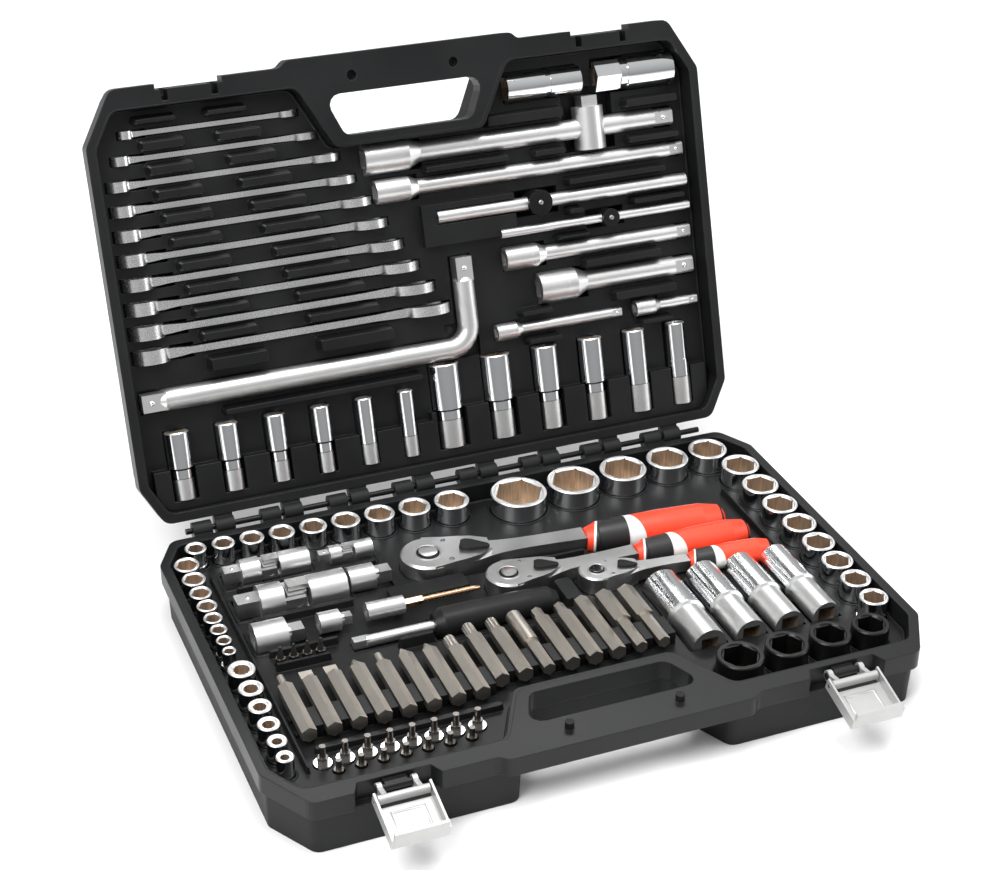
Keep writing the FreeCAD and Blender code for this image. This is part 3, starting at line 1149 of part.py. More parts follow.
# ---------------------------------------------------------------- lid tray
pads = []
PAD = S("lid_tray_level") - S("pad_top") + 1
for k in range(-1, 10):
    y = WY - S("wrench_pitch") * (k + 0.5)
    half = dim(4.6 if k < 9 else 6.2)
    if k == 9:
        y = y - 3.5
    if k == -1:
        half = dim(3.4)
    pads.append(pad(-HW + 38.3 + 2.9 * k, -HW + 72.3 + 4.2 * k, y - half, y + half, LT - 1, PAD))
    pads.append(pad(-HW + 93 + 6 * k, -HW + 128 + 8.8 * k, y - half, y + half, LT - 1, PAD))
E = END
for x0, x1, y0, y1 in (
        (E - 212, E - 143, Y_3E + 8, Y_3E + 15.5), (E - 125, E - 97, Y_3E + 8, Y_3E + 15.5),
        (E - 47, E - 2, Y_3E + 8, Y_3E + 15.5),
        (E - 47, E - 1, Y_HALF + 10, Y_HALF + 19), (E - 160, E - 96, Y_HALF + 10, Y_HALF + 20.5),
        (E - 100, E - 16, Y_T3 + 8, Y_T3 + 15.5), (E - 48, E - 2, Y_T4 + 5.5, Y_T4 + 12.5),
        (E - 102, E - 87, Y_T4 + 5.5, Y_T4 + 12.5), (E - 113, E - 84, Y_3S + 7.5, Y_3S + 13),
        (E - 93, E - 26, Y_HS + 9.5, Y_HS + 18.5), (E - 71, E - 16, Y_Q + 8, Y_Q + 17.5),
        (E - 149, E - 121, Y_Q + 8, Y_Q + 15), (E - 146, E - 116, Y_Q - 14, Y_Q - 7),
        (E - 51, E - 21, Y_Q - 14, Y_Q - 7.5), (-HW + 70, -HW + 225, Y_Q - 25.5, Y_Q - 18)):
    pads.append(pad(x0, x1, y0, y1, LT - 1, PAD - 1))
lid_cups.append(block(E - 217, E - 143, Y_T3 - 21, Y_T3 + 10, LT - 1, RIM - 8.5))
lid_cups.append(block(-HW + 13, dim(-8), D0 + 3, D0 + 37, LT - 1, RIM - 7))
lid_cups.append(block(dim(-8), HW - 13, D0 + 3, D0 + 43, LT - 1, RIM - 7))
lid_plate = lid_outline(tray_points, LT - S("tray_skin"), S("tray_skin"))
lid_keep = lid_outline(tray_points, FLOOR, LH)
lid_solid = cut(fuse(lid_plate, *lid_cups), *lid_hollows)
lid_trim = doc.addObject("Part::MultiCommon", "trim")
lid_trim.Shapes = [fuse(lid_solid, *pads), lid_keep]
node("lid_tray", lid_trim, "lid")

# ---------------------------------------------------------------- write out
doc.recompute()
bad = []
for obj in doc.Objects:
    if "Invalid" in obj.State or "Error" in obj.State:
        bad.append("%s (%s)" % (obj.Name, obj.TypeId))
for name, obj in NODES:
    if obj.Shape.isNull() or not obj.Shape.isValid() or not obj.Shape.Solids:
        bad.append(name)
if bad:
    raise RuntimeError("failed: " + ", ".join(bad[:40]))
os.makedirs("parts", exist_ok=True)
for name, obj in NODES:
    obj.Shape.exportStep("parts/%s.step" % name)
    print("%-32s solids %3d  volume %10.0f" % (name, len(obj.Shape.Solids), obj.Shape.Volume))
print("nodes", len(NODES))
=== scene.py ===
import bpy
import bmesh
import math
from mathutils import Matrix, Vector


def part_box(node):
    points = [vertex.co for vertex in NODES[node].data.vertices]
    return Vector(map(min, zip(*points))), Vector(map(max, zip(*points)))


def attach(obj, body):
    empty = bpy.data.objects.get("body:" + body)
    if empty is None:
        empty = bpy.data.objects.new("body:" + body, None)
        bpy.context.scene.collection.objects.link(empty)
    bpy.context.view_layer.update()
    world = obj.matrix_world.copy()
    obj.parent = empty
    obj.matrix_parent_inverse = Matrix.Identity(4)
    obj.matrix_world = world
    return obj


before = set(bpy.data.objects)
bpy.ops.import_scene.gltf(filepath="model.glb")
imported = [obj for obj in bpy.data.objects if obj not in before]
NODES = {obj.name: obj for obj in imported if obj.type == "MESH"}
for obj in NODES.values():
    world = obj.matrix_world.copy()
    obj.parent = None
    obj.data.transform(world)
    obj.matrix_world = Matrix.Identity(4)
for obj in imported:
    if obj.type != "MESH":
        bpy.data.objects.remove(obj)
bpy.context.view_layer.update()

# The lid's own frame: distance from the hinge (d), and depth below its rim.
HINGE = Vector((0, 0.163, 0.044))
OPEN = math.radians(180 - 109.3)
LID_D = Vector((0, math.cos(OPEN), math.sin(OPEN)))
LID_N = Vector((0, -math.sin(OPEN), math.cos(OPEN)))


# ------------------------------------------------------------ materials
class Tree:
    """A small helper for writing node materials."""

    def __init__(self, name):
        self.mat = bpy.data.materials.new(name)
        self.mat.use_nodes = True
        self.nt = self.mat.node_tree
        self.nt.nodes.clear()
        self.out = self.add("ShaderNodeOutputMaterial")
        self.bsdf = self.add("ShaderNodeBsdfPrincipled")
        self.link(self.bsdf.outputs["BSDF"], self.out.inputs["Surface"])
        self.coord = self.add("ShaderNodeTexCoord").outputs["Object"]

    def add(self, kind):
        return self.nt.nodes.new(kind)

    def link(self, a, b):
        self.nt.links.new(a, b)

    def noise(self, scale, detail=3.0, rough=0.5, coord=None):
        n = self.add("ShaderNodeTexNoise")
        n.inputs["Scale"].default_value = scale
        n.inputs["Detail"].default_value = detail
        n.inputs["Roughness"].default_value = rough
        self.link(coord or self.coord, n.inputs["Vector"])
        return n.outputs["Fac"]

    def cells(self, scale, coord=None, feature="F1"):
        n = self.add("ShaderNodeTexVoronoi")
        n.feature = feature
        n.inputs["Scale"].default_value = scale
        self.link(coord or self.coord, n.inputs["Vector"])
        return n.outputs["Distance"]

    def math(self, op, a, b=None, clamp=False):
        n = self.add("ShaderNodeMath")
        n.operation = op
        n.use_clamp = clamp
        for k, x in enumerate((a, b)):
            if x is None:
                continue
            if isinstance(x, (int, float)):
                n.inputs[k].default_value = x
            else:
                self.link(x, n.inputs[k])
        return n.outputs[0]

    def fit(self, x, a, b, c, d):
        n = self.add("ShaderNodeMapRange")
        n.clamp = True
        for k, q in enumerate((a, b, c, d), start=1):
            n.inputs[k].default_value = q
        self.link(x, n.inputs[0])
        return n.outputs[0]

    def along(self, axis, origin=(0, 0, 0)):
        """Distance of the surface point from origin along an axis."""
        sub = self.add("ShaderNodeVectorMath")
        sub.operation = "SUBTRACT"
        self.link(self.coord, sub.inputs[0])
        sub.inputs[1].default_value = origin
        dot = self.add("ShaderNodeVectorMath")
        dot.operation = "DOT_PRODUCT"
        self.link(sub.outputs[0], dot.inputs[0])
        dot.inputs[1].default_value = axis
        return dot.outputs["Value"]

    def mix(self, fac, a, b):
        n = self.add("ShaderNodeMix")
        n.data_type = "RGBA"
        self.link(fac, n.inputs["Factor"])
        for key, x in ((6, a), (7, b)):
            if isinstance(x, tuple):
                n.inputs[key].default_value = (*x, 1.0)
            else:
                self.link(x, n.inputs[key])
        return n.outputs[2]

    def stretch(self, scale):
        m = self.add("ShaderNodeMapping")
        m.inputs["Scale"].default_value = scale
        self.link(self.coord, m.inputs["Vector"])
        return m.outputs["Vector"]

    def bump(self, height, strength, distance, normal=None):
        n = self.add("ShaderNodeBump")
        n.inputs["Strength"].default_value = strength
        n.inputs["Distance"].default_value = distance
        self.link(height, n.inputs["Height"])
        if normal is not None:
            self.link(normal, n.inputs["Normal"])
        return n.outputs["Normal"]

    def soft_edges(self, radius):
        n = self.add("ShaderNodeBevel")
        n.samples = 4
        n.inputs["Radius"].default_value = radius
        return n.outputs["Normal"]

    def edge_highlight_mask(self, rounded):
        """1 on an edge and 0 on a flat, from how far the rounded normal turns; used to paint edge
        highlights.
        """
        geo = self.add("ShaderNodeNewGeometry")
        dot = self.add("ShaderNodeVectorMath")
        dot.operation = "DOT_PRODUCT"
        self.link(rounded, dot.inputs[0])
        self.link(geo.outputs["Normal"], dot.inputs[1])
        return self.fit(dot.outputs["Value"], 0.75, 0.98, 1.0, 0.0)

    def set(self, **values):
        for key, x in values.items():
            socket = self.bsdf.inputs[key.replace("_", " ")]
            if isinstance(x, bpy.types.NodeSocket):
                self.link(x, socket)
            elif isinstance(x, tuple):
                socket.default_value = (*x, 1.0)
            else:
                socket.default_value = x
        return self.mat


def case_plastic(name, axis, origin, low, high):
    """Coarse moulded texture on the tub, satin on the flange between low and high."""
    t = Tree(name)
    depth = t.along(axis, origin)
    flange = t.math("MULTIPLY", t.fit(depth, low - 0.0003, low, 0, 1),
                    t.fit(depth, high, high + 0.0003, 1, 0))
    grain = t.cells(900)
    fine = t.noise(2600, 4)
    cloud = t.noise(14, 3)
    coarse = t.math("ADD", t.math("MULTIPLY", grain, 0.8), t.math("MULTIPLY", fine, 0.5))
    smooth = t.math("MULTIPLY", fine, 0.12)
    height = t.math("ADD", t.math("MULTIPLY", coarse, t.math("SUBTRACT", 1.0, flange)),
                    t.math("MULTIPLY", smooth, flange))
    rounded = t.soft_edges(0.0011)
    painted_edge_highlight = t.edge_highlight_mask(rounded)
    base = t.mix(t.fit(cloud, 0.35, 0.65, 0, 1), (0.0062, 0.0065, 0.0070), (0.0090, 0.0094, 0.0100))
    # painted highlight: the tub's colour is lighter along its rounded edges
    colour = t.mix(t.math("MULTIPLY", painted_edge_highlight, 0.4), base, (0.030, 0.031, 0.033))
    rough = t.math("ADD", t.math("MULTIPLY", flange, -0.18), t.fit(cloud, 0.3, 0.7, 0.52, 0.60))
    return t.set(Base_Color=colour, Roughness=rough, IOR=1.49, Specular_IOR_Level=0.27,
                 Normal=t.bump(height, 0.55, 0.00022, rounded))


def tray_plastic(name):
    """Satin black moulding, glossier where its edges are rounded, with a painted highlight there.
    """
    t = Tree(name)
    rounded = t.soft_edges(0.0009)
    painted_edge_highlight = t.edge_highlight_mask(rounded)
    cloud = t.noise(22, 4)
    fine = t.noise(3200, 3)
    base = t.mix(t.fit(cloud, 0.35, 0.65, 0, 1), (0.0050, 0.0052, 0.0056), (0.0078, 0.0081, 0.0086))
    # painted highlight: the colour is lighter along rounded edges
    colour = t.mix(t.math("MULTIPLY", painted_edge_highlight, 0.5), base, (0.022, 0.023, 0.024))
    rough = t.math("SUBTRACT", t.fit(cloud, 0.3, 0.7, 0.38, 0.46), t.math("MULTIPLY", painted_edge_highlight, 0.12))
    return t.set(Base_Color=colour, Roughness=rough, IOR=1.5, Specular_IOR_Level=0.26,
                 Normal=t.bump(fine, 0.16, 0.00008, rounded))


def chrome(name, tint=(0.86, 0.87, 0.88), rough=0.05, bands=None):
    """Polished plate with faint smears; a satin band where the grip size is rolled."""
    t = Tree(name)
    smear = t.noise(1.0, 3, 0.5, t.stretch((45, 45, 45)))
    low = t.fit(smear, 0.35, 0.7, rough * 0.8, rough * 1.5)
    colour = t.mix(t.fit(smear, 0.3, 0.8, 0, 1), tint, tuple(c * 0.96 for c in tint))
    if not bands:
        return t.set(Base_Color=colour, Metallic=1.0, Roughness=low)
    axis, origin, start, end = bands
    depth = t.along(axis, origin)
    satin = t.math("MULTIPLY", t.fit(depth, start - 0.0001, start + 0.0001, 0, 1),
                   t.fit(depth, end - 0.0001, end + 0.0001, 1, 0))
    grain = t.noise(1.0, 3, 0.6, t.stretch((1500, 1500, 1500)))
    # painted shade: a dark line at the satin band's end, where a groove would be
    painted_groove_shade = t.fit(t.math("ABSOLUTE", t.math("SUBTRACT", depth, end)), 0.0, 0.0006, 1, 0)
    low = t.math("ADD", low, t.math("MULTIPLY", satin, 0.24))
    colour = t.mix(t.math("MULTIPLY", satin, 0.8), colour, (0.66, 0.66, 0.65))
    colour = t.mix(t.math("MULTIPLY", painted_groove_shade, 0.7), colour, (0.10, 0.10, 0.10))
    height = t.math("MULTIPLY", grain, satin)
    return t.set(Base_Color=colour, Metallic=1.0, Roughness=low,
                 Normal=t.bump(height, 0.10, 0.00006))


def satin_metal(name, tint, rough, grain=1500, strength=0.10, direction=(1, 1, 1), metallic=1.0):
    """Sandblasted, plated or brushed metal with a fine grain."""
    t = Tree(name)
    fine = t.noise(1.0, 3, 0.6, t.stretch(tuple(grain * d for d in direction)))
    cloud = t.noise(38, 3)
    base = t.mix(t.fit(cloud, 0.3, 0.7, 0, 1), tint, tuple(c * 0.90 for c in tint))
    low = t.fit(fine, 0.3, 0.7, rough * 0.9, rough * 1.12)
    return t.set(Base_Color=base, Metallic=metallic, Roughness=low,
                 Normal=t.bump(fine, strength, 0.00008))


def black_metal(name, rough=0.33):
    """Blackened steel, with a painted highlight along its edges."""
    t = Tree(name)
    rounded = t.soft_edges(0.0005)
    painted_edge_highlight = t.edge_highlight_mask(rounded)
    fine = t.noise(1700, 4)
    cloud = t.noise(60, 4)
    # painted highlight: the colour is lighter along rounded edges
    colour = t.mix(t.math("MULTIPLY", painted_edge_highlight, 0.3), (0.010, 0.010, 0.011), (0.10, 0.10, 0.105))
    low = t.fit(cloud, 0.3, 0.7, rough * 0.8, rough * 1.25)
    return t.set(Base_Color=colour, Metallic=0.55, Roughness=low,
                 Normal=t.bump(fine, 0.22, 0.0001, rounded))


def inner_wall(name, tint):
    """Bare machined walls inside a socket: warm and streaked."""
    t = Tree(name)
    streak = t.noise(1.0, 4, 0.6, t.stretch((900, 900, 60)))
    cloud = t.noise(120, 3)
    colour = t.mix(t.fit(streak, 0.3, 0.7, 0, 1), tint, tuple(c * 0.55 for c in tint))
    low = t.fit(cloud, 0.3, 0.7, 0.34, 0.5)
    return t.set(Base_Color=colour, Metallic=0.9, Roughness=low,
                 Normal=t.bump(streak, 0.12, 0.00008))


def grip_rubber(name, axis, origin, n, r):
    """Two-colour grip: orange, with a black middle and pale slanted bands beside it."""
    t = Tree(name)
    x = t.along(axis, origin)
    side = Vector((0, 0, 1)).cross(Vector(axis))
    across = t.along(tuple(side), origin)
    up = t.along((0, 0, 1), origin)
    fine = t.noise(2600, 4)
    cloud = t.noise(40, 4)
    orange = t.mix(t.fit(cloud, 0.3, 0.7, 0, 1), (0.90, 0.062, 0.022), (0.84, 0.052, 0.018))
    white = (0.80, 0.79, 0.77)
    black = (0.012, 0.012, 0.013)
    # Front edge of the black middle, slanting forward on the near side.
    front = t.math("SUBTRACT", x, t.math("MULTIPLY", across, 0.022 * n / r))
    dark = t.fit(front, 0.5605 * n, 0.5605 * n + 0.0003, 0, 1)
    line = t.fit(t.math("ABSOLUTE", t.math("SUBTRACT", front, 0.5575 * n)), 0.0035 * n,
                 0.0035 * n + 0.0003, 1, 0)
    # Back edge: a pale wedge, wide on the near side, then orange again.
    back = t.fit(x, 0.657 * n, 0.657 * n + 0.0002, 0, 1)
    wedge = t.math("ADD", x, t.math("MULTIPLY", across, 0.026 * n / r))
    past = t.fit(wedge, 0.690 * n, 0.690 * n + 0.0003, 0, 1)
    colour = t.mix(dark, orange, black)
    colour = t.mix(line, colour, white)
    colour = t.mix(back, colour, white)
    colour = t.mix(t.math("MULTIPLY", back, past), colour, orange)
    # A black inlay with a pale edge along the far side of the top.
    span = t.math("MULTIPLY", t.fit(x, 0.735 * n, 0.735 * n + 0.0003, 0, 1),
                  t.fit(x, 0.945 * n, 0.945 * n + 0.0003, 1, 0))
    span = t.math("MULTIPLY", span, t.fit(up, 0, 0.0003, 0, 1))
    off = t.math("ABSOLUTE", t.math("SUBTRACT", across, 0.70 * r))
    colour = t.mix(t.math("MULTIPLY", span, t.fit(off, 0.21 * r, 0.21 * r + 0.0003, 1, 0)),
                   colour, white)
    colour = t.mix(t.math("MULTIPLY", span, t.fit(off, 0.14 * r, 0.14 * r + 0.0003, 1, 0)),
                   colour, black)
    low = t.fit(cloud, 0.3, 0.7, 0.38, 0.48)
    rounded = t.soft_edges(0.0012)
    return t.set(Base_Color=colour, Roughness=low, IOR=1.5,
                 Normal=t.bump(fine, 0.18, 0.00008, rounded))


def floor_material():
    """Pale matt paper, with a faint cloud."""
    t = Tree("pale_floor")
    cloud = t.noise(3, 2)
    colour = t.mix(t.fit(cloud, 0.3, 0.7, 0, 1), (0.90, 0.90, 0.90), (0.92, 0.92, 0.92))
    return t.set(Base_Color=colour, Roughness=0.72)


BASE_CASE = case_plastic("case_plastic_base", (0, 0, 1), (0, 0, 0.030), 0.0, 0.0142)
LID_CASE = case_plastic("case_plastic_lid", tuple(LID_N), tuple(HINGE), -0.0143, 0.0)
TRAY = tray_plastic("tray_plastic")
CHROME = chrome("bright_chrome")
CHROME_DEEP = chrome("bright_chrome_deep", rough=0.13,
                     bands=((0, -1, 0), (0, -0.004, 0), 0.0415, 0.2))
LID_START = tuple(HINGE + LID_D * 0.010)
CHROME_QUARTER = chrome("bright_chrome_quarter", bands=(tuple(LID_D), LID_START, 0.0, 0.0275))
CHROME_THREE = chrome("bright_chrome_three", bands=(tuple(LID_D), LID_START, 0.0, 0.0335))
PLATE = satin_metal("satin_plate", (0.78, 0.78, 0.775), 0.36, 1300, 0.05)
RIM_PLATE = satin_metal("rim_plate", (0.88, 0.88, 0.875), 0.42, 1300, 0.02)
SATIN = satin_metal("satin_steel", (0.62, 0.60, 0.56), 0.30)
RATCHET = satin_metal("ratchet_steel", (0.60, 0.60, 0.595), 0.33, 1000, 0.08)
WRENCH = satin_metal("wrench_steel", (0.84, 0.84, 0.835), 0.26, 1300, 0.015)
BITS = satin_metal("bit_steel", (0.56, 0.52, 0.465), 0.36, 1700, 0.12)
DARK_BIT = satin_metal("dark_bit_steel", (0.20, 0.185, 0.17), 0.34, 1700, 0.12)
LATCH = satin_metal("latch_metal", (0.50, 0.50, 0.495), 0.42, 700, 0.06, (0.3, 1, 1), 0.6)
PIN = satin_metal("pin_steel", (0.30, 0.30, 0.31), 0.32, 1200, 0.08, (0.1, 1, 1))
COPPER = satin_metal("copper_bit", (0.66, 0.42, 0.27), 0.26, 1500, 0.1)
BLACK = black_metal("black_steel")
BLACK_GLOSS = tray_plastic("black_grip")
INNER = inner_wall("socket_wall", (0.74, 0.60, 0.47))
INNER_DARK = inner_wall("impact_wall", (0.030, 0.028, 0.026))


def paint(node, material, inner=None):
    """Give a CAD node its material; with inner, add slots for walls facing a socket's own axis and
    for its ends.
    """
    ob = NODES[node]
    ob.data.materials.clear()
    ob.data.materials.append(material)
    for p in ob.data.polygons:
        p.material_index = 0
    if inner is not None:
        ob.data.materials.append(inner)
        ob.data.materials.append(RIM_PLATE if material is not BLACK else material)
    return ob


def islands(ob):
    """The separate solids of a node as lists of polygons, joined by position."""
    me = ob.data
    key = {}
    same = []
    for v in me.vertices:
        k = (round(v.co.x, 5), round(v.co.y, 5), round(v.co.z, 5))
        same.append(key.setdefault(k, len(key)))
    parent = list(range(len(key)))

    def find(a):
        while parent[a] != a:
            parent[a] = parent[parent[a]]
            a = parent[a]
        return a

    for p in me.polygons:
        a = find(same[p.vertices[0]])
        for q in p.vertices[1:]:
            b = find(same[q])
            if a != b:
                parent[b] = a
    groups = {}
    for p in me.polygons:
        groups.setdefault(find(same[p.vertices[0]]), []).append(p)
    return list(groups.values())


def extent(me, polys):
    lo = Vector((1e9, 1e9, 1e9))
    hi = -lo
    for p in polys:
        for i in p.vertices:
            co = me.vertices[i].co
            lo = Vector(map(min, lo, co))
            hi = Vector(map(max, hi, co))
    return lo, hi


def line_bores(node, axis):
    """Walls facing each solid's own long axis, and floors inside it, get the second slot."""
    ob = NODES[node]
    me = ob.data
    a = Vector(axis).normalized()
    out = []
    for polys in islands(ob):
        lo, hi = extent(me, polys)
        c = (lo + hi) / 2
        reach = 0
        ends = []
        for p in polys:
            for i in p.vertices:
                q = me.vertices[i].co - c
                ends.append(q.dot(a))
                q = q - a * q.dot(a)
                reach = max(reach, q.length)
        first, last = min(ends), max(ends)
        for p in polys:
            q = p.center - c
            h = q.dot(a)
            q = q - a * h
            n = p.normal
            if abs(n.dot(a)) < 0.4:
                if q.length > 1e-6 and n.dot(q) < 0:
                    p.material_index = 1
            elif h > last - 0.0025:
                p.material_index = 2
            elif (abs(n.dot(a)) > 0.9 and first + 0.002 < h < last - 0.002
                  and q.length < reach * 0.75):
                p.material_index = 1
        out.append((c, lo, hi, reach))
    return out


# ------------------------------------------------------------ CAD nodes
paint("base_shell", BASE_CASE)
paint("lid_shell", LID_CASE)
paint("base_tray", TRAY)
paint("lid_tray", TRAY)
paint("hinge_rod", BLACK)
for word in ("left", "right"):
    paint("latch_link_" + word, LATCH)
    paint("latch_lever_" + word, LATCH)
    paint("latch_pin_" + word, PIN)
for word in ("half", "three_eighth", "quarter"):
    paint("ratchet_%s_body" % word, RATCHET)
    paint("ratchet_%s_drive" % word, SATIN)
    paint("ratchet_%s_pawl" % word, PIN)
    paint("ratchet_%s_lever" % word, BLACK_GLOSS)
    paint("ratchet_%s_button" % word, CHROME)
UP = (0, 0, 1)
STANDING = {}
for node in ("sockets_half", "sockets_three_eighth", "sockets_quarter", "sockets_star"):
    paint(node, CHROME, INNER)
    STANDING[node] = line_bores(node, UP)
paint("sockets_impact", BLACK, INNER_DARK)
STANDING["sockets_impact"] = line_bores("sockets_impact", UP)
paint("sockets_half_deep", CHROME_DEEP, INNER)
line_bores("sockets_half_deep", (0, 1, 0))
for node, material in (("sockets_quarter_deep", CHROME_QUARTER),
                       ("sockets_three_eighth_deep", CHROME_THREE)):
    paint(node, material, INNER)
    line_bores(node, LID_D)
paint("spark_plug_sockets", CHROME, INNER)
line_bores("spark_plug_sockets", (1, 0, 0))
for node in ("universal_joints", "drive_adapters", "bit_holder", "spinner_shaft",
             "extension_half_long", "extension_bars", "sliding_head_half",
             "t_bar_three_eighth", "t_bar_quarter", "offset_handle"):
    paint(node, PLATE)
paint("holder_bit", COPPER)
paint("long_bits", BITS)
paint("short_bits", DARK_BIT)
paint("bit_sockets", CHROME, DARK_BIT)
for polys in islands(NODES["bit_sockets"]):
    if extent(NODES["bit_sockets"].data, polys)[1].z > 0.036:
        for p in polys:
            p.material_index = 1
paint("t_head_three_eighth", BLACK)
paint("t_head_quarter", BLACK)
paint("combination_wrenches", WRENCH)


def middle(node):
    lo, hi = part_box(node)
    return (lo + hi) / 2


def grip_axis(node, head):
    """A grip's direction, and the point its colours are measured from."""
    a = middle(head)
    b = middle(node)
    d = Vector((b.x - a.x, b.y - a.y, 0)).normalized()
    return (d.x, d.y, 0.0), a


# Each ratchet's size against the largest, and its length from the drive's axis.
RATCHETS = (("half", 1.0, 0.228), ("three_eighth", 0.82, 0.190), ("quarter", 0.66, 0.134))
HEAD_RADIUS, HEAD_TOP, GRIP_RADIUS = 0.020, 0.011, 0.014
for word, k, n in RATCHETS:
    axis, a = grip_axis("ratchet_%s_grip" % word, "ratchet_%s_drive" % word)
    z = middle("ratchet_%s_grip" % word).z
    material = grip_rubber("orange_grip_" + word, axis, (a.x, a.y, z), n, GRIP_RADIUS * k)
    paint("ratchet_%s_grip" % word, material)
    paint("ratchet_%s_collar" % word, material)
paint("spinner_handle", BLACK_GLOSS)


# ------------------------------------------------------------ new pieces
def piece(name, verts, faces, material, body, smooth=True):
    me = bpy.data.meshes.new(name)
    me.from_pydata([tuple(v) for v in verts], [], faces)
    me.update()
    bm = bmesh.new()
    bm.from_mesh(me)
    bmesh.ops.recalc_face_normals(bm, faces=bm.faces)
    bm.to_mesh(me)
    bm.free()
    for p in me.polygons:
        p.use_smooth = smooth
    me.materials.append(material)
    ob = bpy.data.objects.new(name, me)
    bpy.context.scene.collection.objects.link(ob)
    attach(ob, body)
    return ob


class Build:
    """Collects vertices and faces for one piece made of many features."""

    def __init__(self):
        self.verts = []
        self.faces = []

    def lathe(self, matrix, profile, segments=48, closed=True):
        """Turn (radius, height) points about the matrix's Z axis."""
        base = len(self.verts)
        n = len(profile)
        for s in range(segments):
            a = 2 * math.pi * s / segments
            for r, h in profile:
                self.verts.append(matrix @ Vector((r * math.cos(a), r * math.sin(a), h)))
        rows = n if closed else n - 1
        for s in range(segments):
            t = (s + 1) % segments
            for i in range(rows):
                j = (i + 1) % n
                self.faces.append((base + s * n + i, base + t * n + i,
                                   base + t * n + j, base + s * n + j))

    def bead(self, matrix, points, radius, steps=6, closed=True):
        """A half-round bead along a flat path in the matrix's XY plane."""
        base = len(self.verts)
        n = len(points)
        pts = [Vector((p[0], p[1])) for p in points]
        for i, p in enumerate(pts):
            prev = pts[(i - 1) % n] if closed or i > 0 else p
            nxt = pts[(i + 1) % n] if closed or i < n - 1 else p
            a = (p - prev).normalized() if (p - prev).length > 1e-9 else (nxt - p).normalized()
            b = (nxt - p).normalized() if (nxt - p).length > 1e-9 else a
            tangent = (a + b).normalized()
            out = Vector((tangent.y, -tangent.x))
            cosine = max(0.35, out.dot(Vector((a.y, -a.x))))
            for s in range(steps + 1):
                w = math.pi * s / steps
                q = p + out * (radius * math.cos(w) / cosine)
                self.verts.append(matrix @ Vector((q.x, q.y, radius * 0.8 * math.sin(w))))
        m = steps + 1
        loops = n if closed else n - 1
        for i in range(loops):
            j = (i + 1) % n
            for s in range(steps):
                self.faces.append((base + i * m + s, base + j * m + s,
                                   base + j * m + s + 1, base + i * m + s + 1))

    def knurl(self, matrix, radius, length, pitch=0.0013, height=0.00016, around=60):
        """A cross-knurled sleeve along the matrix's Z axis."""
        base = len(self.verts)
        rows = max(4, int(length / (pitch / 4)))
        starts = around // 4
        for i in range(rows + 1):
            h = length * i / rows
            fade = min(1.0, i / 2.0, (rows - i) / 2.0)
            for s in range(around):
                a = 2 * math.pi * s / around
                u = starts * a + 2 * math.pi * h / pitch
                v = starts * a - 2 * math.pi * h / pitch
                lift = abs(math.cos(u / 2)) * abs(math.cos(v / 2))
                r = radius + height * lift * fade
                self.verts.append(matrix @ Vector((r * math.cos(a), r * math.sin(a), h)))
        for i in range(rows):
            for s in range(around):
                t = (s + 1) % around
                self.faces.append((base + i * around + s, base + i * around + t,
                                   base + (i + 1) * around + t, base + (i + 1) * around + s))

    def make(self, name, material, body, smooth=True):
        return piece(name, self.verts, self.faces, material, body, smooth)


def at(point, direction=(0, 0, 1)):
    """A matrix standing at a point with its Z axis along a direction."""
    turn = Vector(direction).to_track_quat("Z", "Y").to_matrix().to_4x4()
    return Matrix.Translation(Vector(point)) @ turn


RING = [(math.cos(2 * math.pi * k / 10), math.sin(2 * math.pi * k / 10)) for k in range(10)]


def ring_profile(radius, thick, rise=0.0):
    return [(radius + thick * c, rise + thick * s) for c, s in RING]


# Rounded raised edges round the standing sockets' pockets.
TRAY_TOP = 0.030
beads = Build()
for node, found in STANDING.items():
    for c, lo, hi, reach in found:
        beads.lathe(at((c.x, c.y, TRAY_TOP)), ring_profile(reach + 0.0013, 0.00085), 40)
beads.make("tray_socket_beads", TRAY, "base")


# ------------------------------------------------------------ ratchets
def tool_frame(word):
    """The ratchet's own frame: X along the handle from the drive's axis."""
    a = middle("ratchet_%s_drive" % word)
    b = middle("ratchet_%s_grip" % word)
    angle = math.atan2(b.y - a.y, b.x - a.x)
    z = middle("ratchet_%s_body" % word).z
    return Matrix.Translation((a.x, a.y, z)) @ Matrix.Rotation(angle, 4, "Z")


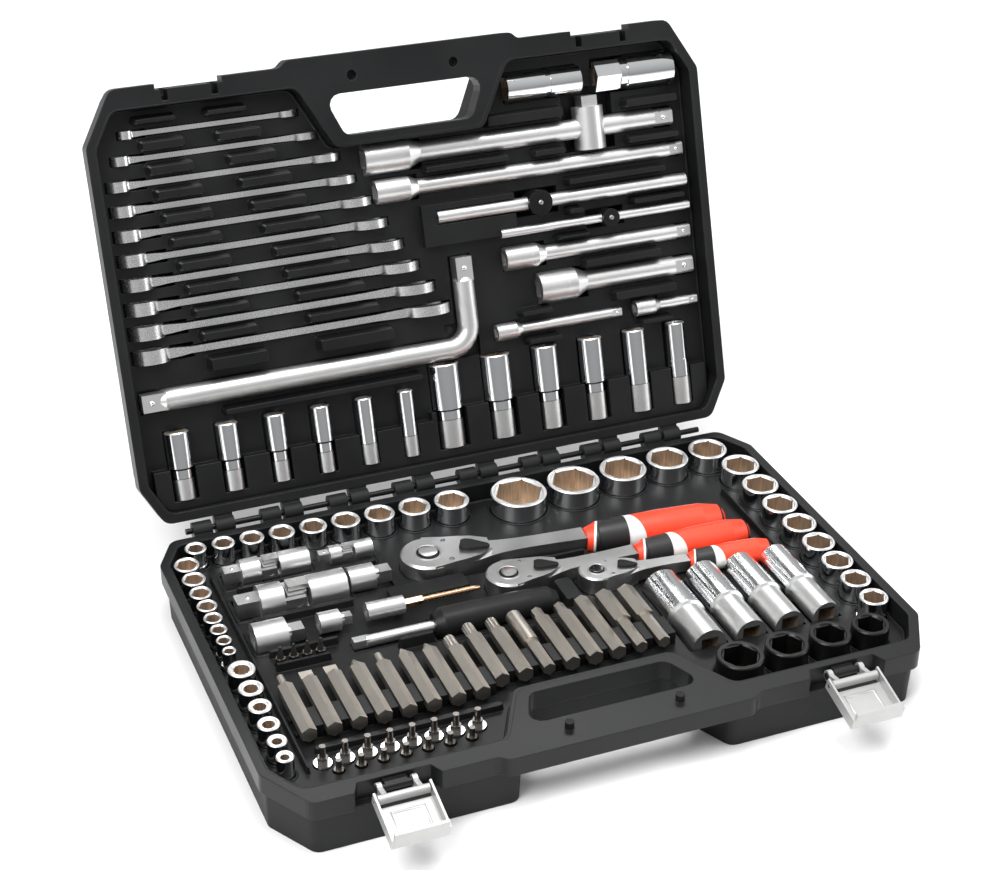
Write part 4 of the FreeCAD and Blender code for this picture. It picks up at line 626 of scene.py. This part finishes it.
for word, k, n in RATCHETS:
    m = tool_frame(word)
    hr = HEAD_RADIUS * k
    top = HEAD_TOP * k
    rings = Build()
    inner = hr * 0.43 * 0.79
    outer = hr * 0.43
    rings.lathe(m @ Matrix.Translation((0, 0, top - 0.0005)),
                [(inner + 0.00015, 0), (inner + 0.00015, 0.0002), (inner + 0.0004, 0.00042),
                 (outer - 0.0004, 0.00042), (outer - 0.00015, 0.0002), (outer - 0.00015, 0)], 48)
    rings.make("ratchet_%s_button_ring" % word, BLACK_GLOSS, "ratchet_%s_drive" % word)
    # Raised lip round the head.
    lip = Build()
    lip.lathe(m @ Matrix.Translation((0, 0, top)),
              [(outer + 0.0003, -0.0002), (outer + 0.0006, 0.0003), (outer + 0.0016 * k, 0.0003),
               (outer + 0.0020 * k, -0.0002)], 48)
    lip.make("ratchet_%s_head_lip" % word, RATCHET, "ratchet_" + word)
    screws = Build()
    for s in (-1, 1):
        r = hr * 0.1 - 0.0001
        spot = m @ Matrix.Translation((hr * 0.72, hr * 0.62 * s, top - 0.0009))
        screws.lathe(spot, [(0.0, 0.0), (r, 0.0), (r, 0.0004), (r * 0.8, 0.0007),
                            (r * 0.34, 0.00078), (r * 0.30, 0.0003), (0.0, 0.0003)], 24, False)
    screws.make("ratchet_%s_screws" % word, PIN, "ratchet_" + word)
    # A black ring moulded round the grip's far end.
    lines = Build()
    lines.lathe(m @ Matrix.Translation((n * 0.985, 0, 0)) @ Matrix.Rotation(math.pi / 2, 4, "Y"),
                ring_profile(GRIP_RADIUS * k * 0.76, 0.0006), 40)
    lines.make("ratchet_%s_grip_rings" % word, BLACK_GLOSS, "ratchet_" + word)

# ------------------------------------------------------------ knurled bars
knurls = Build()


def lid_point(x, d, z):
    return HINGE + Vector((x, 0, 0)) + LID_D * d + LID_N * z


# The rim's height, the back edge of the lid's tools, and the bars' right end.
RIM, TOP, END = -0.0002, 0.318, 0.221
# Drive squares across flats, how deep the bars lie, and their rows from the hinge.
SQUARE_HALF, SQUARE_THREE, SQUARE_QUARTER = 0.0127, 0.00953, 0.00635
DEPTH_HALF, DEPTH_THREE, DEPTH_QUARTER = 0.0155, 0.014, 0.011
DEPTH_OFFSET, DEPTH_T_THREE, DEPTH_T_QUARTER = 0.012, 0.0115, 0.009
ROW_LONG, ROW_THREE_LONG, ROW_THREE_SHORT = TOP - 0.073, TOP - 0.098, TOP - 0.162
ROW_HALF_SHORT, ROW_QUARTER, ROW_OFFSET = TOP - 0.1885, TOP - 0.216, TOP - 0.222
ROW_T_THREE, ROW_T_QUARTER = TOP - 0.1225, TOP - 0.142
knurls.knurl(at(lid_point(-0.203, ROW_OFFSET, RIM - DEPTH_OFFSET), (1, 0, 0)), 0.00802, 0.135,
             0.0016, 0.00018, 88)
knurls.make("offset_handle_knurl", PLATE, "offset_handle")
grips = Build()
for radius, x0, length, d, depth in (
        (0.0090, END - 0.250, 0.018, ROW_THREE_LONG, DEPTH_THREE),
        (0.0090, END - 0.155, 0.018, ROW_THREE_SHORT, DEPTH_THREE),
        (0.0120, END - 0.130, 0.020, ROW_HALF_SHORT, DEPTH_HALF),
        (0.0063, END - 0.169, 0.010, ROW_QUARTER, DEPTH_QUARTER),
        (0.0063, END - 0.053, 0.010, ROW_QUARTER, DEPTH_QUARTER)):
    grips.knurl(at(lid_point(x0 + 0.003, d, RIM - depth), (1, 0, 0)), radius + 0.00002, length,
                0.0014, 0.00015, 64)
grips.make("extension_bar_knurls", PLATE, "lid")
grips = Build()
grips.knurl(at(lid_point(END - 0.256 + 0.004, ROW_LONG, RIM - DEPTH_HALF), (1, 0, 0)), 0.01202,
            0.024, 0.0015, 0.00018, 72)
grips.make("extension_half_knurl", PLATE, "extension_half_long")
for word, radius, length, d, depth in (
        ("three_eighth", 0.005, 0.205, ROW_T_THREE, DEPTH_T_THREE),
        ("quarter", 0.00325, 0.157, ROW_T_QUARTER, DEPTH_T_QUARTER)):
    ends = Build()
    for x0 in (END - length + 0.002, END - 0.024):
        ends.knurl(at(lid_point(x0, d, RIM - depth), (1, 0, 0)), radius + 0.00002, 0.022,
                   0.0012, 0.00012, 40)
    ends.make("t_bar_%s_knurls" % word, PLATE, "t_bar_" + word)

# ------------------------------------------------------------ ball detents
def dome(build, point, direction, radius):
    """A low spherical cap, sunk a little into the face that it stands on."""
    profile = [(radius * math.cos(math.radians(18 * k)),
                radius * 0.6 * math.sin(math.radians(18 * k)) - 0.00005) for k in range(6)]
    build.lathe(at(point, direction), profile, 20, False)


# Each universal joint's drive end (x, y), the joint's radius and its square.
JOINTS_X, JOINTS_TOP = -0.1955, 0.0455
balls = Build()
for x, y, r, side in ((0.008, 0.1105, 0.0095, SQUARE_THREE),
                      (0.0745, 0.1055, 0.0066, SQUARE_QUARTER),
                      (0.009, 0.074, 0.0125, SQUARE_HALF)):
    dome(balls, (JOINTS_X + x, y, JOINTS_TOP - r - 0.0003 + side / 2), UP, side * 0.16)
balls.make("joint_balls", CHROME, "base")
balls = Build()
for x, d, depth, side in ((END, ROW_THREE_LONG, DEPTH_THREE, SQUARE_THREE),
                          (END, ROW_THREE_SHORT, DEPTH_THREE, SQUARE_THREE),
                          (END, ROW_HALF_SHORT, DEPTH_HALF, SQUARE_HALF),
                          (END, ROW_QUARTER, DEPTH_QUARTER, SQUARE_QUARTER),
                          (END - 0.065, ROW_QUARTER, DEPTH_QUARTER, SQUARE_QUARTER)):
    dome(balls, lid_point(x - side * 0.62, d, RIM - depth + side / 2), LID_N, side * 0.16)
balls.make("extension_bar_balls", CHROME, "lid")
balls = Build()
dome(balls, lid_point(END - 0.014, ROW_LONG, RIM - DEPTH_HALF + SQUARE_HALF / 2), LID_N, 0.002)
balls.make("extension_half_ball", CHROME, "extension_half_long")
balls = Build()
for x, d in ((-0.2155, ROW_OFFSET), (0.031, TOP - 0.1625)):
    dome(balls, lid_point(x, d, RIM - DEPTH_OFFSET + SQUARE_HALF / 2), LID_N, 0.002)
balls.make("offset_handle_balls", CHROME, "offset_handle")
for word, x, d, top in (("three_eighth", END - 0.124, ROW_T_THREE, RIM - 0.0035),
                        ("quarter", END - 0.068, ROW_T_QUARTER, RIM - 0.00275)):
    rivet = Build()
    dome(rivet, lid_point(x, d, top), LID_N, 0.0021)
    rivet.make("t_head_%s_rivet" % word, PIN, "t_head_" + word)

# ------------------------------------------------------------ latches
LATCH_X, LATCH_Y, LATCH_Z = 0.1575, -0.151, 0.039
LINK_LENGTH, LINK_LEAN, LEVER_LEAN = 0.0125, math.radians(10), math.radians(105)
for word, sign in (("left", -1), ("right", 1)):
    ribs = Build()
    frame_m = Matrix.Translation((LATCH_X * sign, LATCH_Y - LINK_LENGTH * math.cos(LINK_LEAN),
                                  LATCH_Z + LINK_LENGTH * math.sin(LINK_LEAN)))
    frame_m = frame_m @ Matrix.Rotation(LEVER_LEAN, 4, "X")
    # Pressed ribs on the inside of the lever's web, in its local X and Z.
    web = frame_m @ Matrix.Translation((0, -0.0035, 0)) @ Matrix.Rotation(-math.pi / 2, 4, "X")
    ribs.bead(web, ((-0.0105, -0.025), (0.0105, -0.025), (0.0105, -0.009), (-0.0105, -0.009)),
              0.0009)
    ribs.make("latch_lever_%s_rib" % word, LATCH, "latch_lever_" + word)

# ------------------------------------------------------------ case beads
# Half the case's width and depth, and how far each clipped corner runs in X and Y.
HW, HD = 0.235, 0.155
FRONT_X, FRONT_Y, BACK_X, BACK_Y = 0.022, 0.038, 0.015, 0.028


def eight(inset, front=0.0, notch=None):
    """The flange outline moved in by inset, in the base's plan."""
    fn = math.hypot(FRONT_X, FRONT_Y)
    bn = math.hypot(BACK_X, BACK_Y)
    i, f = inset, inset + front
    ef = FRONT_X + i * (fn - FRONT_X) / FRONT_Y - front * FRONT_X / FRONT_Y
    sf = FRONT_Y + i * (fn - FRONT_Y) / FRONT_X
    sb = BACK_Y + i * (bn - BACK_Y) / BACK_X
    eb = BACK_X + i * (bn - BACK_X) / BACK_Y
    pts = [(-HW + i, HD - sb), (-HW + i, -HD + sf), (-HW + ef, -HD + f)]
    if notch:
        outer, inner, back = notch
        pts += [(-outer, -HD + f), (-inner, back), (inner, back), (outer, -HD + f)]
    pts += [(HW - ef, -HD + f), (HW - i, -HD + sf), (HW - i, HD - sb), (HW - eb, HD - i),
            (-HW + eb, HD - i)]
    return rounded(pts, 0.009)


def rounded(points, radius, steps=5):
    """The closed path with each corner turned into an arc."""
    out = []
    n = len(points)
    for i, p in enumerate(points):
        p = Vector(p)
        a = Vector(points[i - 1]) - p
        b = Vector(points[(i + 1) % n]) - p
        la, lb = a.length, b.length
        a.normalize()
        b.normalize()
        half = math.acos(max(-1.0, min(1.0, a.dot(b)))) / 2
        back = min(radius / math.tan(half), 0.42 * la, 0.42 * lb)
        r = back * math.tan(half)
        centre = (a + b).normalized() * (r / math.sin(half))
        first = a * back - centre
        last = b * back - centre
        sweep = first.angle(last)
        for k in range(steps + 1):
            w = k / steps
            q = first * (math.sin((1 - w) * sweep) / math.sin(sweep))
            q = q + last * (math.sin(w * sweep) / math.sin(sweep)) + centre + p
            out.append((q.x, q.y))
    return out


# The handle's bay: half its width at the front and at its back wall, and that wall's Y.
ROOM = (0.081, 0.057, -0.094)
RIM_INSET, RIM_FRONT, TRAY_INSET, TRAY_FRONT = 0.0058, 0.0084, 0.0086, 0.0079


def bay(gap):
    """The bay's outline, grown by a gap."""
    return tuple(r + gap for r in ROOM)


def rim_bead(name, matrix, path, radius, material, body):
    b = Build()
    b.bead(matrix, path, radius)
    return b.make(name, material, body)


BASE_TOP = Matrix.Translation((0, 0, 0.0435))
rim_path = eight(RIM_INSET, RIM_FRONT, bay(-0.0022))
tray_path = eight(TRAY_INSET, TRAY_FRONT, bay(0.0014))
rim_bead("base_rim_bead", BASE_TOP, rim_path, 0.0007, BASE_CASE, "base")
rim_bead("base_tray_edge", Matrix.Translation((0, 0, TRAY_TOP)), tray_path, 0.0010, TRAY, "base")
# The lid's plan is the base's, mirrored front to back and measured from the hinge.
LID_RIM = Matrix.Translation(HINGE + LID_N * (RIM - 0.0005)) @ Matrix.Rotation(OPEN, 4, "X")
LID_FLOOR = Matrix.Translation(HINGE + LID_N * (RIM - 0.016)) @ Matrix.Rotation(OPEN, 4, "X")


def lid_path(points):
    return [(x, 0.163 - y) for x, y in reversed(points)]


rim_bead("lid_rim_bead", LID_RIM, lid_path(rim_path), 0.0007, LID_CASE, "lid")
rim_bead("lid_tray_edge", LID_FLOOR, lid_path(tray_path), 0.0010, TRAY, "lid")

# Rounded raised mouldings between the sockets and panels of the base tray.
bed = Matrix.Translation((0, 0, TRAY_TOP))
panels = Build()


def panel(build, matrix, x0, x1, y0, y1, radius=0.0009, corner=0.003):
    pts = []
    for cx, cy, a0 in ((x1 - corner, y1 - corner, 0), (x0 + corner, y1 - corner, 90),
                       (x0 + corner, y0 + corner, 180), (x1 - corner, y0 + corner, 270)):
        for s in range(5):
            a = math.radians(a0 + 90 * s / 4)
            pts.append((cx + corner * math.cos(a), cy + corner * math.sin(a)))
    build.bead(matrix, pts, radius, 5)


for x0, x1, y0, y1 in ((-0.1965, -0.1285, 0.0985, 0.1235), (-0.128, -0.0825, 0.0965, 0.1155),
                       (-0.1985, -0.1135, 0.0585, 0.0895), (-0.198, -0.158, 0.017, 0.047),
                       (-0.078, 0.0235, -0.0125, 0.0175)):
    panel(panels, bed, x0, x1, y0, y1)
panels.make("base_tray_panels", TRAY, "base")

# ------------------------------------------------------------ floor, light, camera
me = bpy.data.meshes.new("floor")
me.from_pydata([(-8, -8, -0.0004), (8, -8, -0.0004), (8, 8, -0.0004), (-8, 8, -0.0004)], [],
               [(0, 1, 2, 3)])
floor = bpy.data.objects.new("floor", me)
bpy.context.scene.collection.objects.link(floor)
me.materials.append(floor_material())


def area(name, place, target, size, power, colour=(1, 1, 1)):
    data = bpy.data.lights.new(name, "AREA")
    data.shape = "RECTANGLE"
    data.size = size[0]
    data.size_y = size[1]
    data.energy = power
    data.color = colour
    ob = bpy.data.objects.new(name, data)
    bpy.context.scene.collection.objects.link(ob)
    ob.location = place
    ob.rotation_euler = (Vector(target) - Vector(place)).to_track_quat("-Z", "Y").to_euler()
    return ob


area("key", (-1.2, -0.7, 1.7), (0, 0, 0.1), (0.9, 1.2), 38)
area("fill", (1.7, -0.7, 1.0), (0, 0, 0.1), (0.7, 1.4), 13)
area("back", (0.6, 1.7, 1.9), (0, 0.1, 0.1), (1.4, 0.5), 15)
area("top", (0.1, -0.1, 2.0), (0, 0, 0), (1.0, 0.8), 24)

world = bpy.data.worlds.new("studio")
bpy.context.scene.world = world
world.use_nodes = True
wt = world.node_tree
wt.nodes.clear()
wo = wt.nodes.new("ShaderNodeOutputWorld")
wb = wt.nodes.new("ShaderNodeBackground")
wc = wt.nodes.new("ShaderNodeTexCoord")
ws = wt.nodes.new("ShaderNodeSeparateXYZ")
wr = wt.nodes.new("ShaderNodeValToRGB")
wt.links.new(wc.outputs["Generated"], ws.inputs[0])
wt.links.new(ws.outputs["Z"], wr.inputs["Fac"])
wt.links.new(wr.outputs["Color"], wb.inputs["Color"])
wt.links.new(wb.outputs["Background"], wo.inputs["Surface"])
ramp = wr.color_ramp
ramp.elements[0].position = 0.0
ramp.elements[0].color = (0.50, 0.505, 0.51, 1)
ramp.elements[1].position = 0.85
ramp.elements[1].color = (1.0, 1.0, 1.0, 1)
wb.inputs["Strength"].default_value = 0.60
bpy.context.scene.view_settings.view_transform = "Standard"

cam_data = bpy.data.cameras.new("camera")
camera = bpy.data.objects.new("camera", cam_data)
bpy.context.scene.collection.objects.link(camera)
cam_data.sensor_width = 36.0
cam_data.lens = 74.47
cam_data.shift_x = -0.0093
cam_data.shift_y = 0.0277
cam_data.clip_start = 0.05
CAMERA_PLACE = (-0.4791, -1.0810, 0.8641)
HEADING, TILT, ROLL = (math.radians(a) for a in (-22.888, 58.853, 1.002))
camera.matrix_world = (Matrix.Translation(CAMERA_PLACE) @ Matrix.Rotation(HEADING, 4, "Z")
                       @ Matrix.Rotation(TILT, 4, "X") @ Matrix.Rotation(ROLL, 4, "Z"))
bpy.context.scene.camera = camera
